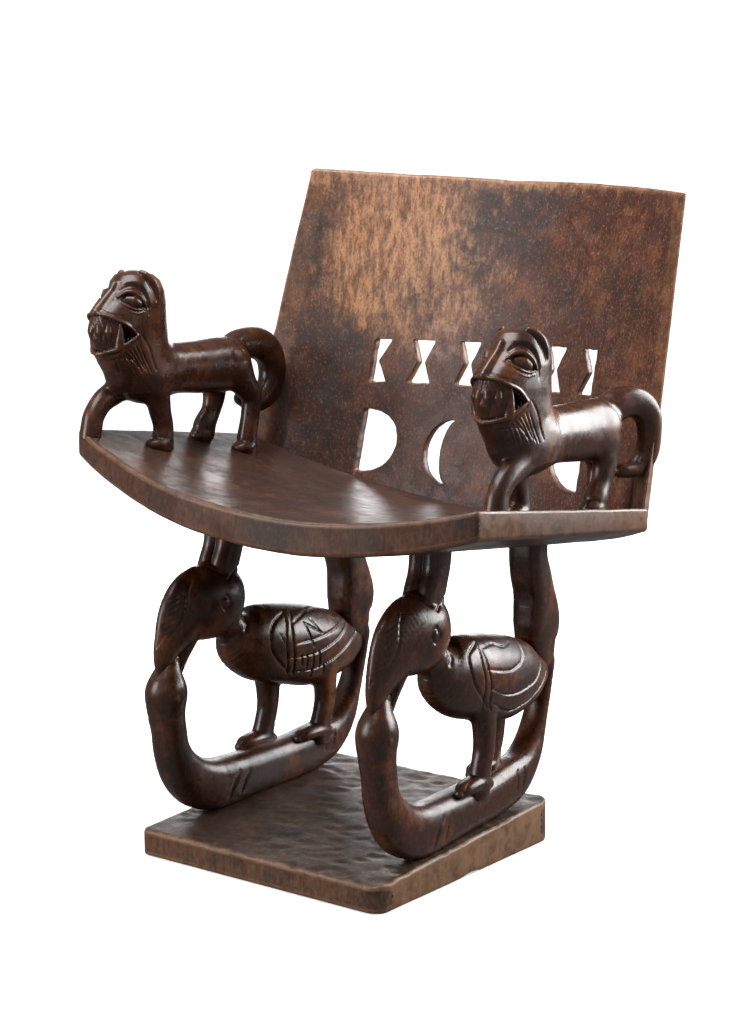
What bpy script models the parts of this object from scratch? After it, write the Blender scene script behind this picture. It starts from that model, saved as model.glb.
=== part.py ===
# Prestige chair carved from one block of hardwood: a square base board, two supports in the form
# of a bird that stands on a snake, a dished seat, two lions on the ends of the seat and a hollow,
# leaning back with a pierced pattern.
# Units are metres, +Z is up and the chair faces -Y. Left and right are the sitter's -X and +X.

import math

import bmesh
import bpy
import numpy as np

# Base board
BASE_WIDTH = 0.335
BASE_DEPTH = 0.329
BASE_FRONT_THICKNESS = 0.0305
BASE_BACK_THICKNESS = 0.050
BASE_CORNER_RADIUS = 0.020
BASE_FRONT_LEFT_RADIUS = 0.008
BASE_EDGE_ROUNDING = 0.004
BASE_NOTCH_LENGTH = 0.034
BASE_NOTCH_DEPTH = 0.012
BASE_NOTCH_HEIGHT = 0.004
BASE_NOTCH_Y = 0.003

# Seat: a dished board whose front bows forward and which falls towards the back
SEAT_HEIGHT = 0.4505
SEAT_FRONT_WIDTH = 0.546
SEAT_BACK_WIDTH = 0.576
SEAT_END_DEPTH = 0.3006
SEAT_FRONT_Y = -0.1465
SEAT_FRONT_BOW = 0.036
SEAT_SAG = 0.047
SEAT_SAG_POWER = 2.14
SEAT_FALL_PER_METRE = 0.105
SEAT_CANT = 0.022
SEAT_MIDDLE_THICKNESS = 0.036
SEAT_END_THICKNESS = 0.0305
SEAT_BACK_THINNING = 0.005
SEAT_EDGE_ROUNDING = 0.003

# Back
BACK_HEIGHT = 0.386
BACK_TOP_WIDTH = 0.541
BACK_TOP_CANT = 0.017
BACK_HOLLOW = 0.075
BACK_LEAN_PER_METRE = 0.281
BACK_THICKNESS = 0.012
BACK_EDGE_THICKNESS = 0.008
BACK_EDGE_CHAMFER = 0.004
BACK_BORDER_EXTRA = 0.008
BACK_BORDER_HEIGHT = 0.150
BACK_TOP_ROUNDING = 0.002
BACK_TOP_SWELL = 0.003
BACK_LEFT_SWELL = 0.006

# Pierced pattern: a row of hourglasses between two half ones, over two bows and two crescents
PATTERN_HALF_WIDTH = 0.160
HOURGLASS_PITCH = 0.064
HOURGLASS_HEIGHT = 0.052
HOURGLASS_END_WIDTH = 0.030
HOURGLASS_WAIST_WIDTH = 0.008
HOURGLASS_COUNT = 4
HALF_HOURGLASS_WIDTH = 0.021
HOURGLASS_ABOVE_SEAT = 0.166
BOW_HEIGHT = 0.076
BOW_WIDTH = 0.048
CRESCENT_OUTER_X = 0.073
CRESCENT_WIDTH = 0.022
CRESCENT_SWEEP = 0.032
LOWER_ROW_ABOVE_SEAT = 0.058

# Supports and lions
SUPPORT_LENGTH = 0.352
SUPPORT_INSET = 0.0255
SUPPORT_TOE_IN = 0.038
LION_LENGTH = 0.330
LION_INSET = 0.0325
LION_STAGGER = 0.019
LION_CANT = 0.003

JOINT_DEPTH = 0.006
RING_SIDES = 10
SEAT_STATIONS = 21

# The supports and lions are drawn on grids of units, which these two numbers tie to the real sizes
SUPPORT_GRID = 352.0
SUPPORT_GRID_RISE = 324.0
SUPPORT_GRID_FLOOR = 40.0
SUPPORT_FLOOR_BLEND = 60.0
LION_GRID = 330.0

for old in list(bpy.data.objects):
    bpy.data.objects.remove(old, do_unlink=True)


def base_top(y):
    """Height of the base board's top at a distance y from its middle."""
    share = y / BASE_DEPTH + 0.5
    return BASE_FRONT_THICKNESS + (BASE_BACK_THICKNESS - BASE_FRONT_THICKNESS) * share


def seat_half_width(y):
    """Half of the seat's width at y, which grows a little towards the back."""
    share = (y - SEAT_FRONT_Y) / SEAT_END_DEPTH
    return (SEAT_FRONT_WIDTH + (SEAT_BACK_WIDTH - SEAT_FRONT_WIDTH) * share) / 2


def seat_top(x, y):
    """Height of the seat's upper face."""
    across = x / seat_half_width(y)
    dish = SEAT_SAG * (1 - min(abs(across), 1.0) ** SEAT_SAG_POWER)
    return SEAT_HEIGHT - dish - SEAT_FALL_PER_METRE * (y - SEAT_FRONT_Y) - SEAT_CANT * across


def seat_thickness(x, y):
    """The seat is thickest in the middle and thins towards its two ends."""
    across = min(abs(x / seat_half_width(y)), 1.0)
    thinning = SEAT_BACK_THINNING * (y - SEAT_FRONT_Y) / SEAT_END_DEPTH
    return SEAT_MIDDLE_THICKNESS + (SEAT_END_THICKNESS - SEAT_MIDDLE_THICKNESS) * across ** 2 - thinning


def seat_under(x, y):
    return seat_top(x, y) - seat_thickness(x, y)


def back_foot_y(across):
    """Where the back's inner face meets the seat, for a share across the seat from -1 to 1."""
    return SEAT_FRONT_Y + SEAT_END_DEPTH + BACK_HOLLOW * (1 - across ** 2)


BACK_FOOT_Z = seat_top(0.0, back_foot_y(0.0))


def back_half_width(z):
    share = (z - BACK_FOOT_Z) / BACK_HEIGHT
    foot = seat_half_width(SEAT_FRONT_Y + SEAT_END_DEPTH)
    return foot + (BACK_TOP_WIDTH / 2 - foot) * share


def back_face(across, z):
    """A point of the back's inner face, whose left edge swells outwards at half its height."""
    share = np.clip((z - BACK_FOOT_Z) / BACK_HEIGHT, 0, 1)
    swell = BACK_LEFT_SWELL * 4 * share * (1 - share) * max(-across, 0) ** 6
    x = across * back_half_width(z) - swell
    y = back_foot_y(across) + BACK_LEAN_PER_METRE * (z - BACK_FOOT_Z)
    return np.array([x, y, z])


def back_top_z(across):
    swell = BACK_TOP_SWELL * math.sin(math.pi * max(across, 0))
    return BACK_FOOT_Z + BACK_HEIGHT - BACK_TOP_CANT * across + swell


def smooth_stations(controls, count):
    """Even stations on a smooth curve through the control rows (Catmull-Rom)."""
    rows = np.array(controls, dtype=float)
    rows = np.vstack([2 * rows[0] - rows[1], rows, 2 * rows[-1] - rows[-2]])
    spans = len(rows) - 3
    stations = []
    for position in np.linspace(0, spans, count):
        first = min(int(position), spans - 1)
        t = position - first
        p0, p1, p2, p3 = rows[first:first + 4]
        stations.append(0.5 * (2 * p1 + (p2 - p0) * t + (2 * p0 - 5 * p1 + 4 * p2 - p3) * t ** 2
                               + (3 * p1 - p0 - 3 * p2 + p3) * t ** 3))
    return np.array(stations)


def limb_rings(controls, count, sideways=0.0, squareness=2.0, sides=RING_SIDES):
    """Rings along a limb drawn in a figure's own plane.

    A control row holds the distance along the figure, the height, the half width across the
    figure and the half depth in its plane.
    """
    stations = smooth_stations(controls, count)
    rings = []
    for index, (along, height, half_width, half_depth) in enumerate(stations):
        before = stations[max(index - 1, 0)][:2]
        after = stations[min(index + 1, count - 1)][:2]
        heading = (after - before) / np.linalg.norm(after - before)
        ring = []
        for step in range(sides):
            angle = 2 * math.pi * (step + 0.5) / sides
            c, s = math.cos(angle), math.sin(angle)
            c = math.copysign(abs(c) ** (2 / squareness), c)
            s = math.copysign(abs(s) ** (2 / squareness), s)
            depth = half_depth * s
            ring.append((sideways + half_width * c,
                         along - heading[1] * depth,
                         height + heading[0] * depth))
        rings.append(ring)
    return np.array(rings)


def level_rings(controls, count, narrowing=0.0, squareness=2.0, sides=RING_SIDES):
    """Level rings stacked upwards; a control row holds height, middle, half length, half width."""
    stations = smooth_stations(controls, count)
    rings = []
    for height, middle, half_length, half_width in stations:
        ring = []
        for step in range(sides):
            angle = 2 * math.pi * (step + 0.5) / sides
            c, s = math.cos(angle), math.sin(angle)
            c = math.copysign(abs(c) ** (2 / squareness), c)
            s = math.copysign(abs(s) ** (2 / squareness), s)
            ring.append((half_width * s * (1 + narrowing * c), middle + half_length * c, height))
        rings.append(ring)
    return np.array(rings)


def solid_from_rings(name, rings):
    """A closed solid through rings of equally many points, with flat ends."""
    rings = np.asarray(rings)
    ring_count, sides = rings.shape[:2]
    faces = [tuple(range(sides))[::-1], tuple(range((ring_count - 1) * sides, ring_count * sides))]
    for ring in range(ring_count - 1):
        for side in range(sides):
            nearer, farther = ring * sides + side, ring * sides + (side + 1) % sides
            faces.append((nearer, farther, farther + sides, nearer + sides))
    mesh = bpy.data.meshes.new(name)
    mesh.from_pydata(rings.reshape(-1, 3).tolist(), [], faces)
    return finish_mesh(name, mesh)


def ball(name, centre, radii, segments=10, rings=6):
    """An ellipsoid about a point."""
    mesh = bpy.data.meshes.new(name)
    work = bmesh.new()
    bmesh.ops.create_uvsphere(work, u_segments=segments, v_segments=rings, radius=1.0)
    for vertex in work.verts:
        vertex.co = [c + r * v for c, r, v in zip(centre, radii, vertex.co)]
    work.to_mesh(mesh)
    work.free()
    return finish_mesh(name, mesh)


def finish_mesh(name, mesh):
    """Turn the faces outwards, fill the ends with triangles and wrap the mesh in an object."""
    work = bmesh.new()
    work.from_mesh(mesh)
    bmesh.ops.triangulate(work, faces=[face for face in work.faces if len(face.verts) > 4])
    bmesh.ops.recalc_face_normals(work, faces=work.faces)
    work.to_mesh(mesh)
    work.free()
    mesh.shade_smooth()
    mesh.set_sharp_from_angle(angle=math.radians(40))
    made = bpy.data.objects.new(name, mesh)
    bpy.context.scene.collection.objects.link(made)
    return made


def as_helper(made):
    """Mark an object as a body that only feeds a Boolean."""
    made.hide_render = True
    made.display_type = 'WIRE'
    return made


def boolean(target, tool, operation):
    modifier = target.modifiers.new(operation.title(), 'BOOLEAN')
    modifier.operation = operation
    modifier.solver = 'EXACT'
    modifier.object = as_helper(tool)


def to_support(points, side):
    """Place grid points (outwards, along, height) of a support in the chair's frame.

    Low points follow the slope of the base board; the whole rises to the seat's underside.
    """
    unit = SUPPORT_LENGTH / SUPPORT_GRID
    middle = BASE_WIDTH / 2 - SUPPORT_INSET
    floor = base_top(0.0)
    rise = (seat_under(middle, 0.0) + seat_under(-middle, 0.0)) / 2 - floor
    outwards, along, height = np.moveaxis(np.asarray(points, dtype=float), -1, 0)
    y = along * unit
    x = side * (middle - SUPPORT_TOE_IN * y + outwards * unit)
    above_floor = height - SUPPORT_GRID_FLOOR
    near_floor = np.clip(1 - above_floor / SUPPORT_FLOOR_BLEND, 0, 1)
    z = floor + above_floor * rise / SUPPORT_GRID_RISE + (base_top(y) - floor) * near_floor
    return np.stack([x, y, z], axis=-1)


def to_lion(points, side):
    """Place grid points (outwards, along, height above the fore paw) of a lion on the seat's end."""
    unit = LION_LENGTH / LION_GRID
    middle = seat_half_width(0.0) - LION_INSET
    outwards, along, height = np.moveaxis(np.asarray(points, dtype=float), -1, 0)
    floor = seat_top(side * (middle + LION_OUTER_LEG * unit), -110 * unit) - side * LION_CANT
    x = side * (middle + outwards * unit)
    y = along * unit + side * LION_STAGGER
    return np.stack([x, y, floor + height * unit], axis=-1)


def end_ring_at(rings, height_at, depth):
    """Move the last ring to a surface, a joint's depth inside the wood."""
    for point in rings[-1]:
        point[2] = height_at(point[0], point[1]) + depth
    return rings


def path_rings(path, radii, sides=6):
    """Round rings along a path in space; both are lists of equal length."""
    path = np.array(path, dtype=float)
    rings = []
    for index, centre in enumerate(path):
        heading = path[min(index + 1, len(path) - 1)] - path[max(index - 1, 0)]
        heading /= np.linalg.norm(heading)
        level = np.cross(heading, (1.0, 0.2, 0.1))
        level /= np.linalg.norm(level)
        upright = np.cross(heading, level)
        angles = 2 * np.pi * np.arange(sides) / sides
        rings.append([centre + radii[index] * (math.cos(a) * level + math.sin(a) * upright)
                      for a in angles])
    return np.array(rings)


def base_board():
    """A board with round corners whose top rises towards the back."""
    half_width, half_depth = BASE_WIDTH / 2, BASE_DEPTH / 2
    corners = ((1, 1, BASE_CORNER_RADIUS), (-1, 1, BASE_CORNER_RADIUS),
               (-1, -1, BASE_FRONT_LEFT_RADIUS), (1, -1, BASE_CORNER_RADIUS))
    corner_steps = 4

    def outline(inset):
        points = []
        for quarter, (corner_x, corner_y, radius) in enumerate(corners):
            for step in range(corner_steps):
                angle = math.radians(90 * (quarter + step / (corner_steps - 1)))
                points.append((corner_x * (half_width - radius) + (radius - inset) * math.cos(angle),
                               corner_y * (half_depth - radius) + (radius - inset) * math.sin(angle)))
        return points

    rounding = BASE_EDGE_ROUNDING
    rings = [[(x, y, 0.0) for x, y in outline(rounding / 2)],
             [(x, y, rounding / 2) for x, y in outline(0.0)],
             [(x, y, base_top(y) - rounding) for x, y in outline(0.0)],
             [(x, y, base_top(y) - rounding * 0.3) for x, y in outline(rounding * 0.3)],
             [(x, y, base_top(y)) for x, y in outline(rounding)]]
    board = solid_from_rings('BaseBoard', rings)
    notch = ball('BaseNotch', (half_width, BASE_NOTCH_Y, 0.0),
                 (BASE_NOTCH_DEPTH, BASE_NOTCH_LENGTH / 2, BASE_NOTCH_HEIGHT), 8, 4)
    boolean(board, notch, 'DIFFERENCE')
    return board


def seat_board():
    """The dished seat, as profiles from front to back set side by side."""
    rings = []
    rounding = SEAT_EDGE_ROUNDING
    for across in np.linspace(-1, 1, SEAT_STATIONS):
        front = SEAT_FRONT_Y - SEAT_FRONT_BOW * (1 - across ** 2)
        rear = back_foot_y(across) + BACK_THICKNESS / 2
        middle = (front + rear) / 2
        profile = []
        for y, lift, under in ((front, -rounding, False), (front + rounding, 0.0, False),
                               (middle, 0.0, False), (rear, 0.0, False), (rear, 0.0, True),
                               (middle, 0.0, True), (front + 2 * rounding, 0.0, True),
                               (front, 2 * rounding, True)):
            x = across * seat_half_width(y)
            z = (seat_under(x, y) if under else seat_top(x, y)) + lift
            profile.append((x, y, z))
        rings.append(profile)
    return solid_from_rings('SeatBoard', rings)


def back_board():
    """The hollow back, as upright profiles set side by side, thicker along its low side borders."""
    rings = []
    borders = [0.89, 0.96, 1.0]
    stations = [-b for b in reversed(borders)] + list(np.linspace(-0.80, 0.80, 13)) + borders
    for across in stations:
        foot_y = back_foot_y(across)
        foot_x = across * back_half_width(BACK_FOOT_Z)
        bottom = seat_under(foot_x, foot_y) + SEAT_EDGE_ROUNDING
        top = back_top_z(across)
        border = np.clip((abs(across) - 0.88) / 0.08, 0, 1)
        edge = np.clip((abs(across) - 0.955) / 0.045, 0, 1)
        chamfer = math.copysign(BACK_EDGE_CHAMFER * edge, across)
        thickness = BACK_THICKNESS + (BACK_EDGE_THICKNESS - BACK_THICKNESS) * edge
        inner, outer = [], []
        for z in np.linspace(bottom, top - BACK_TOP_ROUNDING, 4):
            x, y, _ = back_face(across, z)
            rise = np.clip((z - bottom) / BACK_BORDER_HEIGHT, 0, 1)
            inner.append((x, y - BACK_BORDER_EXTRA * border * (1 - rise ** 2), z))
            outer.append((x - chamfer, y + thickness, z))
        x, y, _ = back_face(across, top)
        lip = [(x, y + BACK_TOP_ROUNDING, top), (x - chamfer, y + thickness - BACK_TOP_ROUNDING, top)]
        rings.append(inner + lip + outer[::-1])
    return solid_from_rings('BackBoard', rings)


def pierce(target, name, outline):
    """Cut an outline of (x, z) points straight through the back, front to rear."""
    faces_y = [back_face(x / back_half_width(z), z)[1] for x, z in outline]
    near, far = min(faces_y) - BACK_THICKNESS, max(faces_y) + 2 * BACK_THICKNESS
    rings = [[(x, near, z) for x, z in outline], [(x, far, z) for x, z in outline]]
    boolean(target, solid_from_rings(name, rings), 'DIFFERENCE')


def hourglass(middle_x, middle_z):
    half_height = HOURGLASS_HEIGHT / 2
    end, waist = HOURGLASS_END_WIDTH / 2, HOURGLASS_WAIST_WIDTH / 2
    corners = [(end, -half_height), (waist, 0.0), (end, half_height),
               (-end, half_height), (-waist, 0.0), (-end, -half_height)]
    return [(middle_x + x, middle_z + z) for x, z in corners]


def half_hourglass(side, middle_z):
    """The end of the row: its outer side is straight."""
    half_height = HOURGLASS_HEIGHT / 2
    corners = [(0.0, -half_height), (0.0, half_height), (HALF_HOURGLASS_WIDTH, half_height),
               (HOURGLASS_WAIST_WIDTH, 0.0), (HALF_HOURGLASS_WIDTH, -half_height)]
    return [(side * (PATTERN_HALF_WIDTH - x), middle_z + z) for x, z in corners]


def bow(side, middle_z):
    """A half round whose straight side is the outer one."""
    steps = 8
    points = []
    for step in range(steps + 1):
        angle = math.pi * (step / steps - 0.5)
        points.append((side * (PATTERN_HALF_WIDTH - BOW_WIDTH * math.cos(angle) ** 0.8),
                       middle_z + BOW_HEIGHT / 2 * math.sin(angle)))
    return points


def crescent(side, middle_z):
    """A crescent whose horns point to the middle."""
    steps = 8
    outer, inner = [], []
    for step in range(steps + 1):
        angle = math.pi * (step / steps - 0.5)
        z = middle_z + BOW_HEIGHT / 2 * math.sin(angle)
        sweep = CRESCENT_SWEEP * (1 - math.cos(angle))
        outer.append((side * (CRESCENT_OUTER_X - sweep), z))
        width = CRESCENT_WIDTH * (0.25 + 0.75 * math.cos(angle))
        inner.append((side * (CRESCENT_OUTER_X - sweep - width), z))
    return outer + inner[::-1]


def pierce_pattern(back):
    row_z = BACK_FOOT_Z + HOURGLASS_ABOVE_SEAT
    for index in range(HOURGLASS_COUNT):
        middle_x = (index - (HOURGLASS_COUNT - 1) / 2) * HOURGLASS_PITCH
        pierce(back, 'Hourglass%d' % index, hourglass(middle_x, row_z))
    for side in (-1, 1):
        pierce(back, 'HalfHourglass%d' % side, half_hourglass(side, row_z))
        for name, shape, x in (('Bow', bow, PATTERN_HALF_WIDTH - BOW_WIDTH / 2),
                               ('Crescent', crescent, CRESCENT_OUTER_X - CRESCENT_SWEEP / 2)):
            y = back_foot_y(x / back_half_width(BACK_FOOT_Z))
            level = (seat_top(x, y) + seat_top(-x, y)) / 2
            pierce(back, '%s%d' % (name, side), shape(side, level + LOWER_ROW_ABOVE_SEAT))


# Control rows of the supports: distance along, height, half width, half depth on the grid
SNAKE = [(-133, 219, 9, 9), (-138, 204, 16, 16), (-141, 188, 21, 21), (-141, 173, 21, 21),
         (-139, 158, 16.5, 18), (-138, 140, 17, 18.5), (-134, 116, 18, 20), (-122, 94, 20, 23),
         (-100, 76, 21, 26), (-68, 66, 22, 27.5), (-24, 65, 22, 27), (20, 65.5, 22, 27),
         (60, 66, 22, 28), (92, 68, 21.5, 30), (122, 74, 20.5, 29), (144, 87, 19, 22),
         (160, 106, 17.5, 15), (171, 127, 16, 10), (180, 150, 15, 7.5), (187, 175, 15, 7),
         (192, 200, 15, 8)]
BIRD_HEAD = [(-30, 271, 9, 12), (-38, 273, 23, 32), (-60, 276, 30, 42), (-85, 275, 28, 43),
             (-108, 266, 22, 38), (-126, 250, 16, 29), (-138, 234, 12, 20), (-145, 220, 9, 13),
             (-149, 207, 5, 7)]
LOWER_BEAK = [(-92, 252, 12, 7), (-105, 236, 11, 7), (-117, 220, 10, 6), (-125, 204, 8, 5)]
CASQUE = [(-96, 314, 4, 4), (-114, 304, 7, 8), (-129, 290, 8, 9), (-141, 271, 7, 8), (-148, 250, 4, 4)]
BIRD_BODY = [(-38, 241, 17, 20), (-23, 227, 26, 36), (0, 218, 31, 44), (30, 211, 34, 47),
             (60, 205, 35, 48), (95, 197, 34, 48), (125, 193, 31, 43), (150, 190, 25, 35),
             (172, 192, 18, 24), (188, 197, 10, 12), (197, 199, 5, 5)]
POST = [(186, 196, 14, 8), (181, 207, 17, 17), (175, 225, 19, 25), (176, 246, 21, 29),
        (173, 266, 21, 26), (168, 286, 21, 21), (161, 306, 21, 20), (156, 324, 21, 17),
        (156, 346, 21, 16)]
BIRD_EAR = [(-64, 296, 10.5, 17), (-56, 315, 10.5, 18), (-49, 333, 10.5, 17), (-45, 350, 11, 18)]
BIRD_LEG = [(40, 172, 13, 17), (42, 150, 12, 14.5), (41, 130, 11.5, 12.5), (36, 112, 11, 12.5),
            (32, 98, 12, 13), (30, 84, 12, 14)]
BIRD_FOOT = [(42, 92, 12, 8), (20, 95, 12.5, 9), (2, 94, 11, 7.5), (-8, 91, 6, 5)]
BIRD_LEG_OUT = 15
BIRD_STRIDE = 68
BIRD_EAR_OUT = 10.5
BIRD_EYE = (27, -74, 278)
BIRD_EYE_RADIUS = 5.5


def support_parts(side):
    """A snake bent into a U along the base holds its raised head in the beak of a bird that stands
    on its body; the bird's two ears and the post behind its tail carry the seat."""
    def limb(name, controls, count, outwards=0.0, squareness=2.0, sides=RING_SIDES, to_seat=False):
        rings = to_support(limb_rings(controls, count, outwards, squareness, sides), side)
        if to_seat:
            rings = end_ring_at(rings, seat_under, JOINT_DEPTH)
        return solid_from_rings('%s%d' % (name, side), rings)

    parts = [limb('Snake', SNAKE, 21, squareness=2.5),
             limb('BirdHead', BIRD_HEAD, 10),
             limb('LowerBeak', LOWER_BEAK, 4, sides=6),
             limb('Casque', CASQUE, 6, sides=6),
             limb('BirdBody', BIRD_BODY, 11, sides=10),
             limb('Post', POST, 8, squareness=3.5, sides=8, to_seat=True)]
    for outwards in (-BIRD_EAR_OUT, BIRD_EAR_OUT):
        parts.append(limb('BirdEar%d' % (outwards > 0), BIRD_EAR, 4, outwards, 2.4, 8, True))
    for name, outwards, stride in (('Outer', BIRD_LEG_OUT, 0), ('Inner', -BIRD_LEG_OUT, BIRD_STRIDE)):
        leg = [(along + stride, height, width, depth) for along, height, width, depth in BIRD_LEG]
        foot = [(along + stride, height, width, depth) for along, height, width, depth in BIRD_FOOT]
        parts.append(limb(name + 'Leg', leg, 5, outwards, 2.3, 8))
        parts.append(limb(name + 'Foot', foot, 4, outwards, 2.3, 8))
    outwards, along, height = BIRD_EYE
    radius = BIRD_EYE_RADIUS * SUPPORT_LENGTH / SUPPORT_GRID
    for flank in (-1, 1):
        centre = to_support((flank * outwards, along, height), side)
        parts.append(ball('BirdEye%d_%d' % (side, flank), centre, (radius,) * 3, 6, 4))
    return parts


# Level rings of a lion's head: height above the fore paw, middle, half length, half width
LION_HEAD = [(46, -42, 44, 25), (62, -48, 50, 27), (78, -56, 54, 28), (92, -64, 55, 28.5),
             (106, -69, 57, 29), (122, -70.5, 56.5, 30), (134, -69, 54, 30), (145, -63.5, 47.5, 30),
             (159, -57, 37.5, 28.5), (170, -56, 31, 25.5), (177, -58, 23, 20), (180, -60, 14, 13)]
LION_MUZZLE_NARROWING = 0.02
LION_MOUTH = [(-87, 103), (-102, 116), (-116, 127), (-140, 134), (-140, 88), (-118, 90), (-101, 94)]
LION_LIP = 4
LION_BODY = [(-84, 60, 14, 14), (-72, 61, 23, 26), (-45, 64, 27, 35), (0, 67, 26, 30), (45, 66, 26, 31),
             (82, 66, 27, 33), (103, 66, 25, 31), (115, 64, 19, 24), (123, 62, 10, 13)]
# The tails swing outwards and lie against the back, which stands nearer to the right lion
LION_TAILS = {
    1: [(92, 75, 15, 16), (112, 87, 15.5, 17), (132, 93, 15, 17), (149, 88, 14, 16), (160, 76, 12, 13),
        (163, 60, 11, 11), (162, 42, 11, 10), (156, 28, 11, 10), (144, 19, 11, 9), (128, 18, 10, 8)],
    -1: [(92, 75, 15, 16), (114, 86, 16, 18), (140, 89, 16, 19), (168, 86, 16, 20), (189, 74, 16, 21),
         (197, 56, 16, 21), (194, 38, 15, 20), (182, 24, 14, 17), (164, 16, 13, 13), (146, 16, 12, 10),
         (130, 22, 11, 9)]}
LION_TAIL_SWING = {1: 0.37, -1: 0.12}
LION_TAIL_ROOT = 92
LION_LEGS = {
    'OuterFore': [(-56, 60, 13, 18), (-76, 46, 12, 15), (-98, 35, 11.5, 13), (-112, 20, 11, 12.5),
                  (-117, 4, 11.5, 12.5), (-119, -6, 12, 13)],
    'InnerFore': [(-50, 60, 13, 20), (-40, 42, 12, 17), (-35, 22, 11, 14), (-30, 2, 10.5, 12.5),
                  (-32, -16, 12, 14), (-34, -30, 12, 15)],
    'OuterHind': [(90, 66, 13, 23), (90, 44, 12.5, 19), (90, 27, 11.5, 15), (84, 10, 10.5, 12.5),
                  (74, -4, 12, 14), (70, -14, 12, 16)],
    'InnerHind': [(100, 62, 13, 23), (111, 44, 12.5, 18), (125, 26, 11.5, 14), (123, 4, 10.5, 12),
                  (117, -20, 11, 12.5), (114, -44, 12, 15)]}
LION_OUTER_LEG = 14
LION_INNER_LEG = -15
LION_BROW = [(-112, 138, 2.0), (-107, 151, 3.2), (-94, 160, 3.6), (-78, 157, 3.6), (-66, 143, 3.0),
             (-62, 130, 1.6)]
LION_EYE = (-88, 143)
LION_EYE_RADII = (8, 11, 8)
LION_EAR = [(17, -56, 172, 4), (24, -50, 172, 6.5), (26, -42, 163, 5.5), (27, -36, 152, 2)]
LION_FANG = [(-97, 92, 5), (-98, 100, 4), (-100, 116, 0.8)]


def lion_cheek(along, height):
    """Half width of the lion's head at a place on its side."""
    heights = [row[0] for row in LION_HEAD]
    middle, half_length, half_width = [np.interp(height, heights, [row[k] for row in LION_HEAD])
                                       for k in (1, 2, 3)]
    c = np.clip((along - middle) / half_length, -0.98, 0.98)
    return half_width * math.sqrt(1 - c * c) * (1 + LION_MUZZLE_NARROWING * c)


def lion_head(side):
    """The head with its open mouth, whose teeth stand a little inside the lips."""
    rings = level_rings(LION_HEAD, 11, LION_MUZZLE_NARROWING, 2.15, 12)
    head = solid_from_rings('LionHead%d' % side, to_lion(rings, side))
    reach = 2 * max(row[3] for row in LION_HEAD)
    mouth = [[(x, along, height) for along, height in LION_MOUTH] for x in (-reach, reach)]
    boolean(head, solid_from_rings('LionMouth%d' % side, to_lion(mouth, side)), 'DIFFERENCE')
    inside = [(height, middle, length - LION_LIP, width - LION_LIP)
              for height, middle, length, width in LION_HEAD[2:8]]
    rings = level_rings(inside, 4, LION_MUZZLE_NARROWING, 2.15, 10)
    return [head, solid_from_rings('LionTeeth%d' % side, to_lion(rings, side))]


def lion_parts(side):
    """A lion with a raised head and a tail that curls down to its hock."""
    unit = LION_LENGTH / LION_GRID

    def limb(name, controls, count, outwards=0.0, sides=10):
        return to_lion(limb_rings(controls, count, outwards, 2.2, sides), side)

    def strand(name, path, radii, sides):
        rings = path_rings(to_lion(path, side), [radius * unit for radius in radii], sides)
        return solid_from_rings(name, rings)

    parts = lion_head(side)
    parts.append(solid_from_rings('LionBody%d' % side, limb('Body', LION_BODY, 8, sides=10)))
    tail = limb_rings(LION_TAILS[side], 11, 0.0, 2.2, 8)
    tail[..., 0] += LION_TAIL_SWING[side] * (tail[..., 1] - LION_TAIL_ROOT)
    parts.append(solid_from_rings('LionTail%d' % side, to_lion(tail, side)))
    for name, controls in LION_LEGS.items():
        outwards = LION_OUTER_LEG if name.startswith('Outer') else LION_INNER_LEG
        rings = end_ring_at(limb(name, controls, 6, outwards, 8), seat_top, -JOINT_DEPTH)
        parts.append(solid_from_rings('Lion%s%d' % (name, side), rings))
    for flank in (-1, 1):
        tag = '%d_%d' % (side, flank)
        brow = [(flank * (lion_cheek(along, height) - 0.5), along, height)
                for along, height, radius in LION_BROW]
        parts.append(strand('LionBrow' + tag, brow, [row[2] for row in LION_BROW], 6))
        ear = [(flank * out, along, height) for out, along, height, radius in LION_EAR]
        parts.append(strand('LionEar' + tag, ear, [row[3] for row in LION_EAR], 6))
        fang = [(flank * (lion_cheek(along, height) - LION_LIP), along, height)
                for along, height, radius in LION_FANG]
        parts.append(strand('LionFang' + tag, fang, [row[2] for row in LION_FANG], 6))
        along, height = LION_EYE
        eye = (flank * (lion_cheek(along, height) - LION_LIP), along, height)
        radii = [radius * unit for radius in LION_EYE_RADII]
        parts.append(ball('LionEye' + tag, to_lion(eye, side), radii, 8, 4))
    return parts


def wood_material():
    """Dark oiled hardwood."""
    wood = bpy.data.materials.new('DarkHardwood')
    wood.use_nodes = True
    shader = wood.node_tree.nodes['Principled BSDF']
    shader.inputs['Base Color'].default_value = (0.090, 0.038, 0.020, 1.0)
    shader.inputs['Roughness'].default_value = 0.42
    shader.inputs['Metallic'].default_value = 0.0
    return wood


def build_chair():
    """Join every part to the seat, since the chair is one piece of wood."""
    chair = seat_board()
    chair.name = 'chair'
    chair.data.name = 'chair'
    back = back_board()
    pierce_pattern(back)
    parts = [base_board(), back]
    for side in (-1, 1):
        parts += support_parts(side) + lion_parts(side)
    corners = np.array([vertex.co for made in parts + [chair] for vertex in made.data.vertices])
    middle = (corners.min(axis=0) + corners.max(axis=0)) / 2
    for made in bpy.context.scene.objects:
        made.location = (-middle[0], -middle[1], 0.0)
    carved = bpy.data.collections.new('CarvedParts')
    bpy.context.scene.collection.children.link(carved)
    for part in parts:
        carved.objects.link(as_helper(part))
    union = chair.modifiers.new('Join carved parts', 'BOOLEAN')
    union.operation = 'UNION'
    union.solver = 'EXACT'
    union.operand_type = 'COLLECTION'
    union.collection = carved
    union.use_self = True
    chair.data.materials.append(wood_material())
    return chair


build_chair()
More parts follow.
